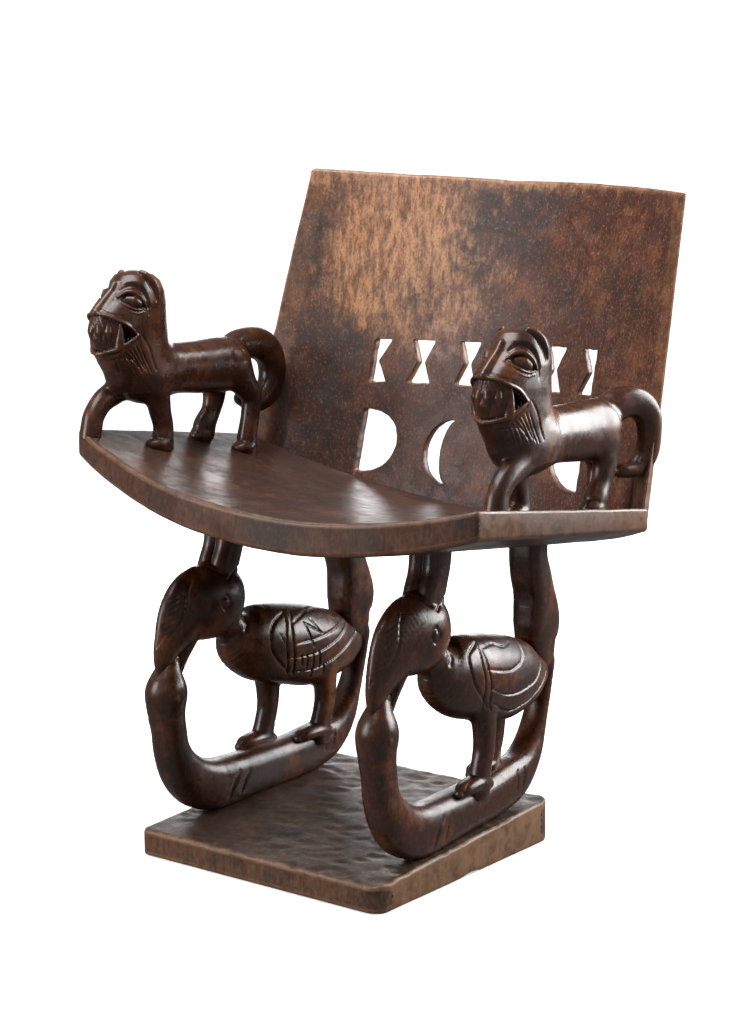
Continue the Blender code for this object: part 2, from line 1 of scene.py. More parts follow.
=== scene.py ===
# Prestige chair carved from one block: the dressed model, its stage and its camera.
# Units are metres, +Z is up and the sitter faces -Y. The chair's own frame has its zero in the
# middle of the base board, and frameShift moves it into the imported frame.
import math
import bpy
import bmesh
import numpy as np
import openvdb
from mathutils import Matrix, Vector


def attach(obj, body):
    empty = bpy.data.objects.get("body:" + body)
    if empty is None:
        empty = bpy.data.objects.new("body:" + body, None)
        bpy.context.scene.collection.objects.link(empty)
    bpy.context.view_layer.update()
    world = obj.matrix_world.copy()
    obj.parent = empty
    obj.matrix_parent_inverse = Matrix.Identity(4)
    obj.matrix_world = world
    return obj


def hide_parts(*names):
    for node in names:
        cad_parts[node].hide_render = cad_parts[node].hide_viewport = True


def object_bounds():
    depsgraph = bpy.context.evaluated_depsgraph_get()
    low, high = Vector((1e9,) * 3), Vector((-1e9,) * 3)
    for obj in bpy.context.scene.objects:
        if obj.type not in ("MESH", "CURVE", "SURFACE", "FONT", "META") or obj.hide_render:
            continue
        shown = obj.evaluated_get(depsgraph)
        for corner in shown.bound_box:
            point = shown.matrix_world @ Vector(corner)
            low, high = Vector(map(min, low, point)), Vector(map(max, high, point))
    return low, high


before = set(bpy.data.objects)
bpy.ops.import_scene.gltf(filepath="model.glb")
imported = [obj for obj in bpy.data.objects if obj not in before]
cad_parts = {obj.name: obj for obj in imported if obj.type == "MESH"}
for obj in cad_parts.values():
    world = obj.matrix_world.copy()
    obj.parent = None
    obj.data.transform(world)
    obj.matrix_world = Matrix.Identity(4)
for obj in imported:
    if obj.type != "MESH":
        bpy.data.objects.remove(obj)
cadBox = [list(corner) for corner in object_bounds()]

baseBoard = {
    "width": 0.335, "depth": 0.329, "frontThickness": 0.0305, "backThickness": 0.050,
    "cornerRadius": 0.020, "frontLeftRadius": 0.008, "edgeRadius": 0.0045,
    "notchY": 0.003, "notchLength": 0.034, "notchDepth": 0.012, "notchHeight": 0.004,
    "adzeDepth": 0.0017, "adzeSize": 0.015, "adzeCount": 260, "adzeReach": 0.17,
    "sideUnevenness": 0.004}
seatBoard = {
    "height": 0.4505, "frontWidth": 0.546, "backWidth": 0.576, "endDepth": 0.3006, "frontY": -0.1465,
    "bow": 0.036, "sag": 0.047, "sagPower": 2.14, "fall": 0.105, "cant": 0.022,
    "middleThickness": 0.036, "endThickness": 0.0305, "backThinning": 0.005, "edgeRadius": 0.0045,
    "unevenness": 0.0006, "frontUnevenness": 0.0012}
backBoard = {
    "height": 0.386, "topWidth": 0.541, "topCant": 0.017, "hollow": 0.075, "lean": 0.281,
    "thickness": 0.012, "edgeThickness": 0.008, "chamfer": 0.004, "borderExtra": 0.011,
    "borderHeight": 0.150, "topSwell": 0.003, "leftSwell": 0.006, "edgeRadius": 0.0035,
    "unevenness": 0.0007, "topUnevenness": 0.0012, "borderFrom": 0.885, "borderEase": 0.045,
    "borderHighlight": 0.48, "thinFrom": 0.955, "thinEase": 0.045}

frameShift = cadBox[0][1] - (seatBoard["frontY"] - seatBoard["bow"])


def baseTop(y):
    share = y / baseBoard["depth"] + 0.5
    growth = baseBoard["backThickness"] - baseBoard["frontThickness"]
    return baseBoard["frontThickness"] + growth * share


def seatHalfWidth(y):
    share = (y - seatBoard["frontY"]) / seatBoard["endDepth"]
    return (seatBoard["frontWidth"] + (seatBoard["backWidth"] - seatBoard["frontWidth"]) * share) / 2


def seatTop(x, y):
    across = x / seatHalfWidth(y)
    dish = seatBoard["sag"] * (1 - np.minimum(np.abs(across), 1.0) ** seatBoard["sagPower"])
    return (seatBoard["height"] - dish - seatBoard["fall"] * (y - seatBoard["frontY"])
            - seatBoard["cant"] * across)


def seatUnder(x, y):
    across = np.minimum(np.abs(x / seatHalfWidth(y)), 1.0)
    thinning = seatBoard["backThinning"] * (y - seatBoard["frontY"]) / seatBoard["endDepth"]
    ends = (seatBoard["endThickness"] - seatBoard["middleThickness"]) * across ** 2
    return seatTop(x, y) - seatBoard["middleThickness"] - ends + thinning


def backFootY(across):
    return seatBoard["frontY"] + seatBoard["endDepth"] + backBoard["hollow"] * (1 - across ** 2)


backFootZ = float(seatTop(0.0, backFootY(0.0)))


def backHalfWidth(z):
    share = (z - backFootZ) / backBoard["height"]
    foot = seatHalfWidth(seatBoard["frontY"] + seatBoard["endDepth"])
    return foot + (backBoard["topWidth"] / 2 - foot) * share


def backFace(across, z):
    share = np.clip((z - backFootZ) / backBoard["height"], 0, 1)
    swell = backBoard["leftSwell"] * 4 * share * (1 - share) * np.maximum(-across, 0) ** 6
    x = across * backHalfWidth(z) - swell
    y = backFootY(across) + backBoard["lean"] * (z - backFootZ)
    return x, y


def backTopZ(across):
    swell = backBoard["topSwell"] * math.sin(math.pi * max(across, 0))
    return backFootZ + backBoard["height"] - backBoard["topCant"] * across + swell


def handWave(points, size, seed):
    # A smooth unevenness of about -1 to 1, as a hand-worked surface has
    random = np.random.default_rng(seed)
    total = np.zeros(points.shape[:-1])
    for turn in range(7):
        heading = random.normal(size=3)
        heading /= np.linalg.norm(heading)
        rate = 2 * math.pi / (size * random.uniform(0.6, 1.7))
        total += np.sin(points @ heading * rate + random.uniform(0, 6.3))
    return total / 4


def meshFromArrays(name, points, faces, wearAndPaintedLight=None):
    # Faces all have the same number of corners; they are turned outwards by the mesh's volume
    points = np.asarray(points, dtype=np.float64)
    faces = np.asarray(faces)
    corners = points[faces]
    fan = np.einsum("ij,ij->i", corners[:, 0], np.cross(corners[:, 1], corners[:, 2]))
    if faces.shape[1] == 4:
        fan = fan + np.einsum("ij,ij->i", corners[:, 0], np.cross(corners[:, 2], corners[:, 3]))
    if fan.sum() < 0:
        faces = faces[:, ::-1]
    mesh = bpy.data.meshes.new(name)
    mesh.vertices.add(len(points))
    mesh.vertices.foreach_set("co", points.astype(np.float32).ravel())
    mesh.loops.add(faces.size)
    mesh.loops.foreach_set("vertex_index", faces.astype(np.int32).ravel())
    mesh.polygons.add(len(faces))
    mesh.polygons.foreach_set("loop_start", np.arange(0, faces.size, faces.shape[1], dtype=np.int32))
    mesh.update(calc_edges=True)
    mesh.validate()
    if wearAndPaintedLight is not None:
        layer = mesh.attributes.new("wearAndPaintedLight", "FLOAT", "POINT")
        layer.data.foreach_set("value", np.asarray(wearAndPaintedLight, dtype=np.float32))
    mesh.shade_smooth()
    made = bpy.data.objects.new(name, mesh)
    bpy.context.scene.collection.objects.link(made)
    return made


def applied(piece, modifier):
    # The mesh that the modifier gives; the modifier itself is removed
    result = piece.evaluated_get(bpy.context.evaluated_depsgraph_get())
    mesh = bpy.data.meshes.new_from_object(result)
    piece.modifiers.remove(modifier)
    return mesh


def roundedStations(reach, radius, count):
    # Places from -reach to reach, and how far the section has drawn in at each: the ends are rounded
    turn = np.linspace(0, math.pi / 2, 7)
    endPlaces = reach - radius + radius * np.sin(turn)
    endInsets = radius * (1 - np.cos(turn))
    middle = np.linspace(-(reach - radius), reach - radius, count)
    places = np.concatenate([-endPlaces[:0:-1], middle, endPlaces[1:]])
    insets = np.concatenate([endInsets[:0:-1], np.zeros(count), endInsets[1:]])
    return places, insets


def boardShell(name, stations, insets, span, upper, lower, radius, count, edgeRows=6):
    # A closed board: a loop round each station, with rounded edges, and strips across both ends
    turn = np.linspace(0, math.pi / 2, 6)[:-1]
    loops, wears = [], []
    for station, inset in zip(stations, insets):
        start, end = span(station)
        start, end = start + inset, end - inset
        middle = np.linspace(start + radius, end - radius, count)
        along = np.concatenate([start + radius * (1 - np.cos(turn)), middle,
                                (end - radius * (1 - np.cos(turn)))[::-1]])
        gap = np.minimum(np.minimum(along - start, end - along), radius)
        drawnIn = radius - np.sqrt(np.maximum(radius ** 2 - (radius - gap) ** 2, 0)) + inset
        over, under = upper(station, along), lower(station, along)
        share = (drawnIn / np.linalg.norm(over - under, axis=1))[:, None]
        over, under = over + (under - over) * share, under + (over - under) * share
        steps = (np.arange(edgeRows) + 1)[:, None] / (2 * edgeRows + 1)
        front = (over[0] + (under[0] - over[0]) * steps)[::-1]
        rear = over[-1] + (under[-1] - over[-1]) * steps
        frontLow = under[0] + (over[0] - under[0]) * steps
        rearLow = (under[-1] + (over[-1] - under[-1]) * steps)[::-1]
        loops.append(np.concatenate([front, over, rear, rearLow, under[::-1], frontLow]))
        edge = np.exp(-np.minimum(along - start, end - along) / 0.006)
        if inset > 0:
            edge = np.ones_like(edge)
        edgeWear = np.concatenate([np.full(edgeRows, 0.25), edge, np.full(edgeRows, 0.25)])
        wears.append(np.concatenate([edgeWear, edgeWear[::-1]]))
    loops = np.array(loops)
    loopCount, size = loops.shape[:2]
    ring, place = np.meshgrid(np.arange(loopCount - 1), np.arange(size), indexing="ij")
    nextPlace = (place + 1) % size
    faces = [np.stack([ring * size + place, ring * size + nextPlace, (ring + 1) * size + nextPlace,
                       (ring + 1) * size + place], axis=-1).reshape(-1, 4)]
    strip = np.arange(size // 2 - 1)
    for offset, turned in ((0, True), ((loopCount - 1) * size, False)):
        cap = np.stack([strip, strip + 1, size - 2 - strip, size - 1 - strip], axis=-1) + offset
        faces.append(cap[:, ::-1] if turned else cap)
    faces = np.concatenate(faces)
    return loops.reshape(-1, 3), faces, np.concatenate(wears)


def makeBase():
    half, deep = baseBoard["width"] / 2, baseBoard["depth"] / 2
    stations, insets = roundedStations(half, baseBoard["edgeRadius"], 90)

    def corner(x, radius):
        reach = np.clip(np.abs(x) - (half - radius), 0, radius)
        return radius - math.sqrt(max(radius ** 2 - reach ** 2, 0))

    def span(x):
        front = baseBoard["frontLeftRadius"] if x < 0 else baseBoard["cornerRadius"]
        return -deep + corner(x, front), deep - corner(x, baseBoard["cornerRadius"])

    def upper(x, y):
        return np.stack([np.full_like(y, x), y, baseTop(y)], axis=-1)

    def lower(x, y):
        return np.stack([np.full_like(y, x), y, np.zeros_like(y)], axis=-1)

    points, faces, wearAndPaintedLight = boardShell("chairBase", stations, insets, span, upper, lower,
                                     baseBoard["edgeRadius"], 90, 5)
    # Shallow scallops of the adze on the top, and a chip out of the right lower edge
    random = np.random.default_rng(4)
    onTop = np.clip((points[:, 2] - baseTop(points[:, 1]) + 0.004) / 0.003, 0, 1)
    cut = np.zeros(len(points))
    reach = baseBoard["adzeReach"]
    for middle in random.uniform(-reach, reach, (baseBoard["adzeCount"], 2)):
        turn = random.normal(0.25, 0.25)
        dx, dy = points[:, 0] - middle[0], points[:, 1] - middle[1]
        longways = dx * math.cos(turn) + dy * math.sin(turn)
        sideways = -dx * math.sin(turn) + dy * math.cos(turn)
        size = baseBoard["adzeSize"] * random.uniform(0.7, 1.3)
        scoop = 1 - (longways / size) ** 2 - (sideways / (size * 0.55)) ** 2
        cut = np.maximum(cut, np.clip(scoop, 0, 1) * random.uniform(0.4, 1))
    points[:, 2] -= baseBoard["adzeDepth"] * cut * onTop
    drawnIn = baseBoard["sideUnevenness"] * np.clip(handWave(points, 0.09, 5), 0, 1) * (1 - onTop)
    points[:, :2] *= 1 - drawnIn[:, None]
    along = (points[:, 1] - baseBoard["notchY"]) / (baseBoard["notchLength"] / 2)
    inwards = np.clip((points[:, 0] - half + baseBoard["notchDepth"]) / baseBoard["notchDepth"], 0, 1)
    chip = baseBoard["notchHeight"] * np.clip(1 - along ** 2, 0, 1) ** 0.5 * inwards ** 0.4
    points[:, 2] = np.maximum(points[:, 2], chip)
    points[:, 1] += frameShift
    return meshFromArrays("chairBase", points, faces, wearAndPaintedLight)


def makeSeat():
    stations, insets = roundedStations(1.0, 0.014, 170)
    insets = insets * 0.28

    def span(u):
        front = seatBoard["frontY"] - seatBoard["bow"] * (1 - u ** 2)
        return front, backFootY(u) + backBoard["thickness"] * 0.5

    def upper(u, y):
        x = u * seatHalfWidth(y)
        return np.stack([x, y, seatTop(x, y)], axis=-1)

    def lower(u, y):
        x = u * seatHalfWidth(y)
        return np.stack([x, y, seatUnder(x, y)], axis=-1)

    points, faces, wearAndPaintedLight = boardShell("chairSeat", stations, insets, span, upper, lower,
                                     seatBoard["edgeRadius"], 120, 7)
    wave = handWave(points, 0.07, 11) * 0.6 + handWave(points, 0.025, 12) * 0.25
    points[:, 2] += seatBoard["unevenness"] * wave
    frontish = np.clip((seatBoard["frontY"] - points[:, 1]) / 0.03 + 1, 0, 1)
    points[:, 1] += seatBoard["frontUnevenness"] * np.clip(handWave(points, 0.12, 13), 0, 1) * frontish
    points[:, 1] += frameShift
    return meshFromArrays("chairSeat", points, faces, wearAndPaintedLight)


pierced = {
    "halfWidth": 0.160, "pitch": 0.064, "height": 0.052, "endWidth": 0.030, "waistWidth": 0.008,
    "count": 4, "halfEndWidth": 0.021, "aboveSeat": 0.166, "bowHeight": 0.076, "bowWidth": 0.048,
    "crescentX": 0.073, "crescentWidth": 0.022, "crescentSweep": 0.032, "lowerRow": 0.058,
    "chamfer": 0.0011, "wobble": 0.0004}


def finerOutline(corners, seed):
    # Even points along the outline, corners a little rounded and the cut a little unsure
    corners = np.array(corners)
    following = np.roll(corners, -1, axis=0)
    points = []
    for begin, end in zip(corners, following):
        steps = max(int(np.linalg.norm(end - begin) / 0.0016), 1)
        points.extend(begin + (end - begin) * step / steps for step in range(steps))
    points = np.array(points)
    for turn in range(2):
        points = (np.roll(points, 1, axis=0) + 2 * points + np.roll(points, -1, axis=0)) / 4
    spread = np.stack([points[:, 0], points[:, 1], np.zeros(len(points))], axis=-1)
    points[:, 0] += pierced["wobble"] * handWave(spread, 0.012, seed)
    points[:, 1] += pierced["wobble"] * handWave(spread, 0.012, seed + 50)
    return points


def patternOutlines():
    half, end, waist = pierced["height"] / 2, pierced["endWidth"] / 2, pierced["waistWidth"] / 2
    rowZ = backFootZ + pierced["aboveSeat"]
    outlines = []
    for index in range(pierced["count"]):
        x = (index - (pierced["count"] - 1) / 2) * pierced["pitch"]
        shape = [(end, -half), (waist, 0), (end, half), (-end, half), (-waist, 0), (-end, -half)]
        outlines.append([(x + dx, rowZ + dz) for dx, dz in shape])
    for side in (-1, 1):
        edge = pierced["halfWidth"]
        shape = [(0, -half), (0, half), (pierced["halfEndWidth"], half), (pierced["waistWidth"], 0),
                 (pierced["halfEndWidth"], -half)]
        outlines.append([(side * (edge - dx), rowZ + dz) for dx, dz in shape])
        angles = np.linspace(-math.pi / 2, math.pi / 2, 25)
        level = []
        for x in (edge - pierced["bowWidth"] / 2, pierced["crescentX"] - pierced["crescentSweep"] / 2):
            y = backFootY(x / backHalfWidth(backFootZ))
            level.append((seatTop(x, y) + seatTop(-x, y)) / 2 + pierced["lowerRow"])
        outlines.append([(side * (edge - pierced["bowWidth"] * max(math.cos(a), 0) ** 0.8),
                          level[0] + pierced["bowHeight"] / 2 * math.sin(a)) for a in angles])
        outer = [(pierced["crescentX"] - pierced["crescentSweep"] * (1 - math.cos(a)),
                  level[1] + pierced["bowHeight"] / 2 * math.sin(a)) for a in angles]
        inner = [(x - pierced["crescentWidth"] * (0.25 + 0.75 * math.cos(a)), z)
                 for (x, z), a in zip(outer, angles)]
        outlines.append([(side * x, z) for x, z in outer + inner[::-1]])
    return outlines


def makeCutters():
    # One closed cutter for each hole, wider at both faces of the board so that its rim is chamfered
    points, faces = [], []
    thickness, chamfer = backBoard["thickness"], pierced["chamfer"]
    rim, past = 1.6 * chamfer, 0.006
    for index, corners in enumerate(patternOutlines()):
        outline = finerOutline(corners, 30 + index)
        across = outline[:, 0] / backHalfWidth(outline[:, 1])
        faceY = backFootY(across) + backBoard["lean"] * (outline[:, 1] - backFootZ)
        ahead = np.roll(outline, -1, axis=0) - np.roll(outline, 1, axis=0)
        outwards = np.stack([ahead[:, 1], -ahead[:, 0]], axis=-1)
        outwards /= np.linalg.norm(outwards, axis=1)[:, None]
        following = np.roll(outline, -1, axis=0)
        area = np.sum(outline[:, 0] * following[:, 1] - following[:, 0] * outline[:, 1])
        outwards *= math.copysign(1, area)
        rings = []
        for depth, widening in ((-past, 3), (0.0, 1), (rim, 0), (thickness - rim, 0), (thickness, 1),
                                (thickness + past, 3)):
            moved = outline + outwards * widening * chamfer
            rings.append(np.stack([moved[:, 0], faceY + depth, moved[:, 1]], axis=-1))
        start, size = len(points), len(outline)
        for ring in rings:
            points.extend(ring.tolist())
        for level in range(len(rings) - 1):
            for place in range(size):
                a, b = start + level * size + place, start + level * size + (place + 1) % size
                faces.append((a, b, b + size, a + size))
        faces.append(tuple(range(start, start + size))[::-1])
        faces.append(tuple(range(start + 5 * size, start + 6 * size)))
    mesh = bpy.data.meshes.new("cutters")
    mesh.from_pydata(points, [], faces)
    work = bmesh.new()
    work.from_mesh(mesh)
    bmesh.ops.triangulate(work, faces=[face for face in work.faces if len(face.verts) > 4])
    bmesh.ops.recalc_face_normals(work, faces=work.faces)
    work.to_mesh(mesh)
    work.free()
    cutter = bpy.data.objects.new("cutters", mesh)
    bpy.context.scene.collection.objects.link(cutter)
    return cutter


def makeBack():
    stations, insets = roundedStations(1.0, 0.012, 180)
    insets = insets * 0.27

    def span(u):
        footY = backFootY(u)
        footX = u * backHalfWidth(backFootZ)
        return seatUnder(footX, footY) + 0.003, backTopZ(u)

    def faceOffset(u, z):
        bottom = span(u)[0]
        border = np.clip((abs(u) - backBoard["borderFrom"]) / backBoard["borderEase"], 0, 1)
        border = border * border * (3 - 2 * border)
        rise = np.clip((z - bottom) / backBoard["borderHeight"], 0, 1)
        return backBoard["borderExtra"] * border * (1 - rise ** 2)

    def upper(u, z):
        x, y = backFace(u, z)
        return np.stack([x, y - faceOffset(u, z), z], axis=-1)

    def lower(u, z):
        x, y = backFace(u, z)
        edge = np.clip((abs(u) - backBoard["thinFrom"]) / backBoard["thinEase"], 0, 1)
        thickness = backBoard["thickness"] + (backBoard["edgeThickness"] - backBoard["thickness"]) * edge
        chamfer = math.copysign(backBoard["chamfer"] * edge, u)
        return np.stack([x - chamfer, y + thickness, z], axis=-1)

    points, faces, wearAndPaintedLight = boardShell("chairBack", stations, insets, span, upper, lower,
                                     backBoard["edgeRadius"], 120, 2)
    # The side borders get a painted highlight (a lighter worn tone), with a painted shade along their
    # inner edge near the foot
    reach = np.abs(points[:, 0] / backHalfWidth(points[:, 2]))
    rise = np.clip((points[:, 2] - backFootZ) / backBoard["borderHeight"], 0, 1)
    wearAndPaintedLight = np.maximum(wearAndPaintedLight, backBoard["borderHighlight"] * np.clip((reach - 0.90) / 0.03, 0, 1))
    # Painted shade along the inner edge of the border ridge, fading out with height
    wearAndPaintedLight = wearAndPaintedLight - 0.9 * np.exp(-((reach - 0.888) / 0.012) ** 2) * (1 - rise ** 2)
    wave = handWave(points, 0.08, 21) * 0.6 + handWave(points, 0.03, 22) * 0.3
    faceY = backFace(points[:, 0] / backHalfWidth(points[:, 2]), points[:, 2])[1]
    onRear = points[:, 1] > 0.5 * (faceY * 2 + backBoard["thickness"])
    points[:, 1] += backBoard["unevenness"] * wave * np.where(onRear, -1.0, 1.0) - 0.0004 * onRear
    topWobble = np.clip((points[:, 2] - 0.70) / 0.05, 0, 1)
    points[:, 2] -= backBoard["topUnevenness"] * topWobble * np.clip(handWave(points, 0.09, 23), 0, 1)
    back = meshFromArrays("chairBack", points, faces, wearAndPaintedLight)
    cutter = makeCutters()
    cut = back.modifiers.new("Pierce", "BOOLEAN")
    cut.operation = "DIFFERENCE"
    cut.solver = "EXACT"
    cut.object = cutter
    plain = applied(back, cut)
    back.data = plain
    bpy.data.objects.remove(cutter)
    plain.set_sharp_from_angle(angle=math.radians(38))
    plain.transform(Matrix.Translation((0, frameShift, 0)))
    return back


def smoothRows(rows, count):
    # Even stations on a smooth curve through the rows (Catmull-Rom)
    rows = np.array(rows, dtype=float)
    rows = np.vstack([2 * rows[0] - rows[1], rows, 2 * rows[-1] - rows[-2]])
    spans = len(rows) - 3
    place = np.linspace(0, spans, count)
    first = np.minimum(place.astype(int), spans - 1)
    t = (place - first)[:, None]
    a, b, c, d = (rows[first + step] for step in range(4))
    return 0.5 * (2 * b + (c - a) * t + (2 * a - 5 * b + 4 * c - d) * t ** 2
                  + (3 * b - a - 3 * c + d) * t ** 3)


def makeBlock(low, high, step):
    # A block to carve in: distances to the surface on a lattice, in millimetres
    low = np.array(low, dtype=float)
    counts = np.ceil((np.array(high) - low) / step).astype(int) + 1
    axes = [low[i] + step * np.arange(counts[i]) for i in range(3)]
    return {"low": low, "step": step, "axes": axes, "field": np.full(counts, 12.0, np.float32)}


def part(block, low, high):
    slices = tuple(slice(int(np.searchsorted(axis, a)), int(np.searchsorted(axis, b)))
                   for axis, a, b in zip(block["axes"], low, high))
    return slices, [axis[cut].astype(np.float32) for axis, cut in zip(block["axes"], slices)]


def merge(block, slices, distance, soften, carve=False):
    field = block["field"][slices]
    if carve:
        distance = -distance
        ease = np.maximum(soften - np.abs(field - distance), 0) / soften
        block["field"][slices] = np.maximum(field, distance) + ease * ease * soften / 4
    else:
        ease = np.maximum(soften - np.abs(field - distance), 0) / soften
        block["field"][slices] = np.minimum(field, distance) - ease * ease * soften / 4


def nearestOnPath(alongGrid, heightGrid, path):
    best = np.full(alongGrid.shape, 1e9, np.float32)
    station = np.zeros_like(best)
    for index in range(len(path) - 1):
        begin, leg = path[index, :2], path[index + 1, :2] - path[index, :2]
        t = (alongGrid - begin[0]) * leg[0] + (heightGrid - begin[1]) * leg[1]
        t = np.clip(t / (leg @ leg), 0, 1)
        d = (alongGrid - begin[0] - t * leg[0]) ** 2 + (heightGrid - begin[1] - t * leg[1]) ** 2
        nearer = d < best
        best = np.where(nearer, d, best)
        station = np.where(nearer, index + t, station)
    return np.sqrt(best), station


def addLimb(block, rows, out=0.0, square=2.0, soften=4.0, count=48, swing=0.0, swingFrom=0.0):
    # Rows hold distance along the figure, height, half width across it and half depth in its plane.
    # A limb that swings moves outwards as it goes along.
    path = smoothRows(rows, count)
    margin = 5 + soften
    deep = path[:, 3].max() + margin
    reach = path[:, 2].max() + margin + abs(swing) * max(path[:, 0].max() + deep - swingFrom, 0)
    slices, (o, s, h) = part(block, (out - reach, path[:, 0].min() - deep, path[:, 1].min() - deep),
                             (out + reach, path[:, 0].max() + deep, path[:, 1].max() + deep))
    if min(len(o), len(s), len(h)) == 0:
        return
    alongGrid, heightGrid = np.meshgrid(s, h, indexing="ij")
    inPlane, station = nearestOnPath(alongGrid, heightGrid, path)
    places = np.arange(len(path))
    width = np.interp(station, places, path[:, 2]).astype(np.float32)
    depth = np.interp(station, places, path[:, 3]).astype(np.float32)
    across = np.abs(o[:, None, None] - out - swing * (s[None, :, None] - swingFrom))
    share = ((across / width) ** square + ((inPlane / depth) ** square)) ** (1 / square)
    length = np.sqrt(across ** 2 + inPlane ** 2)
    merge(block, slices, length * (1 - 1 / np.maximum(share, 0.03)), soften)


def addBall(block, centre, radii, soften=1.5, carve=False):
    centre, radii = np.array(centre, float), np.array(radii, float)
    slices, (o, s, h) = part(block, centre - radii - soften - 3, centre + radii + soften + 3)
    o, s, h = o[:, None, None] - centre[0], s[None, :, None] - centre[1], h[None, None, :] - centre[2]
    share = np.sqrt((o / radii[0]) ** 2 + (s / radii[1]) ** 2 + (h / radii[2]) ** 2)
    length = np.sqrt(o ** 2 + s ** 2 + h ** 2)
    merge(block, slices, length * (1 - 1 / np.maximum(share, 0.03)), soften, carve)


def easeIn(value, low, high):
    t = np.clip((value - low) / (high - low), 0, 1)
    return t * t * (3 - 2 * t)


def addRelief(block, lines, low, high, innerOut=8.0, outerOut=16.0):
    # Ridges (height above 0) and grooves along lines on both flanks: points, width, height
    slices, (o, s, h) = part(block, (-80, *low), (80, *high))
    alongGrid, heightGrid = np.meshgrid(s, h, indexing="ij")
    relief = np.zeros(alongGrid.shape, np.float32)
    for points, width, height in lines:
        path = smoothRows(points, 6 * len(points)) if len(points) > 2 else np.array(points, float)
        away, station = nearestOnPath(alongGrid, heightGrid, path)
        fade = np.sin(math.pi * np.clip(station / (len(path) - 1) * 0.94 + 0.03, 0, 1)) ** 0.35
        relief += height * fade * np.exp(-(away / width) ** 2)
    flank = easeIn(np.abs(o), innerOut, outerOut)[:, None, None]
    block["field"][slices] -= relief[None] * flank


def softened(field, reach):
    # A box blur along each axis
    for axis in range(3):
        total = np.zeros_like(field)
        for shift in range(-reach, reach + 1):
            total += np.roll(field, shift, axis=axis)
        field = total / (2 * reach + 1)
    return field


def surfaceOf(block):
    # The block's surface as quads, with how proud (above 0) or hollow each place is
    step = block["step"]
    field = np.clip(block["field"], -4 * step, 4 * step)
    grid = openvdb.FloatGrid(4 * step)
    grid.copyFromArray(np.ascontiguousarray(field))
    points, quads = grid.convertToQuads(isovalue=0.0)
    reach = max(int(round(2.6 / step)), 1)
    proud = {"low": block["low"], "step": step, "field": softened(softened(field, reach), reach)}
    points = block["low"] + points * step
    # Proud places (above 0) carry the edge wear; hollow places (below 0) carry painted shade in the
    # material
    wearAndPaintedLight = np.clip(fieldAt(proud, points) * 0.9, -1, 1)
    return points, quads, wearAndPaintedLight


def fieldAt(block, points):
    place = (points - block["low"]) / block["step"]
    place = np.clip(place, 0, np.array(block["field"].shape) - 1.01)
    cell = place.astype(int)
    share = place - cell
    total = np.zeros(len(points))
    for corner in np.ndindex(2, 2, 2):
        weight = np.prod(np.where(np.array(corner) == 1, share, 1 - share), axis=1)
        total += weight * block["field"][tuple((cell + np.array(corner)).T)]
    return total


def ontoSurface(block, points, lift=0.0):
    # Moves points to the carved surface, then lifts them off it
    points = np.array(points, dtype=float)
    nudges = np.eye(3) * block["step"]
    for turn in range(7):
        slope = np.stack([fieldAt(block, points + nudge) - fieldAt(block, points - nudge)
                          for nudge in nudges], axis=1)
        slope /= np.maximum(np.linalg.norm(slope, axis=1), 1e-6)[:, None]
        points -= np.clip(fieldAt(block, points), -2, 2)[:, None] * slope
    return points + lift * slope


def addTube(block, points, radii, lift=0.0, soften=0.8, carve=False, settle=True, flanks=(1, -1)):
    # A strand, or a cut, along points (outwards, along, height), the same on both flanks
    count = 5 * len(points)
    places = np.linspace(0, 1, count)
    radii = np.interp(places, np.linspace(0, 1, len(radii)), radii)
    for flank in flanks:
        path = smoothRows(points, count) if len(points) > 2 else np.linspace(points[0], points[1], count)
        path = path * np.array([flank, 1, 1])
        if settle:
            path = ontoSurface(block, path, lift)
        margin = radii.max() + soften + 2
        slices, (o, s, h) = part(block, path.min(axis=0) - margin, path.max(axis=0) + margin)
        if min(len(o), len(s), len(h)) == 0:
            continue
        grid = np.stack(np.meshgrid(o, s, h, indexing="ij"), axis=-1)
        best = np.full(grid.shape[:-1], 99.0, np.float32)
        for index in range(count - 1):
            leg = path[index + 1] - path[index]
            t = np.clip(((grid - path[index]) @ leg) / max(leg @ leg, 1e-6), 0, 1)
            away = np.linalg.norm(grid - path[index] - t[..., None] * leg, axis=-1)
            best = np.minimum(best, away - radii[index] - (radii[index + 1] - radii[index]) * t)
        merge(block, slices, best, soften, carve)


supportForm = {
    "length": 0.352, "inset": 0.0255, "toeIn": 0.038, "grid": 352.0, "gridRise": 324.0,
    "gridFloor": 40.0, "floorBlend": 60.0, "jointDepth": 0.006, "birdStep": 1.25, "snakeStep": 1.6,
    "handWave": 0.00012, "mostTriangles": 90000}
snakeRows = [
    (-133, 219, 9, 9), (-138, 204, 15, 15.5), (-141, 188, 19, 20), (-142, 173, 20, 21),
    (-141, 157, 18.5, 20), (-138, 140, 17.5, 19), (-134, 116, 18, 20), (-122, 94, 20, 23),
    (-100, 76, 21, 26), (-68, 66, 22, 27.5), (-24, 65, 22, 27), (20, 65.5, 22, 27),
    (60, 66, 22, 28), (92, 68, 21.5, 30), (122, 74, 20.5, 29), (144, 87, 19, 22),
    (160, 106, 17.5, 15), (171, 127, 16, 10), (180, 150, 15, 7.5), (187, 175, 15, 7),
    (192, 200, 15, 8)]
birdHeadRows = [
    (-30, 271, 9, 12), (-38, 273, 23, 32), (-60, 276, 30, 42), (-85, 275, 28, 43),
    (-108, 266, 22, 38), (-126, 250, 16, 29), (-138, 234, 12, 20), (-145, 220, 9, 13),
    (-149, 207, 5, 7)]
lowerBeakRows = [(-92, 252, 12, 7), (-105, 236, 11, 7), (-117, 220, 10, 6), (-125, 204, 8, 5)]
casqueRows = [(-96, 314, 4, 4), (-114, 304, 7, 8), (-129, 290, 8, 9), (-141, 271, 7, 8),
              (-148, 250, 4, 4)]
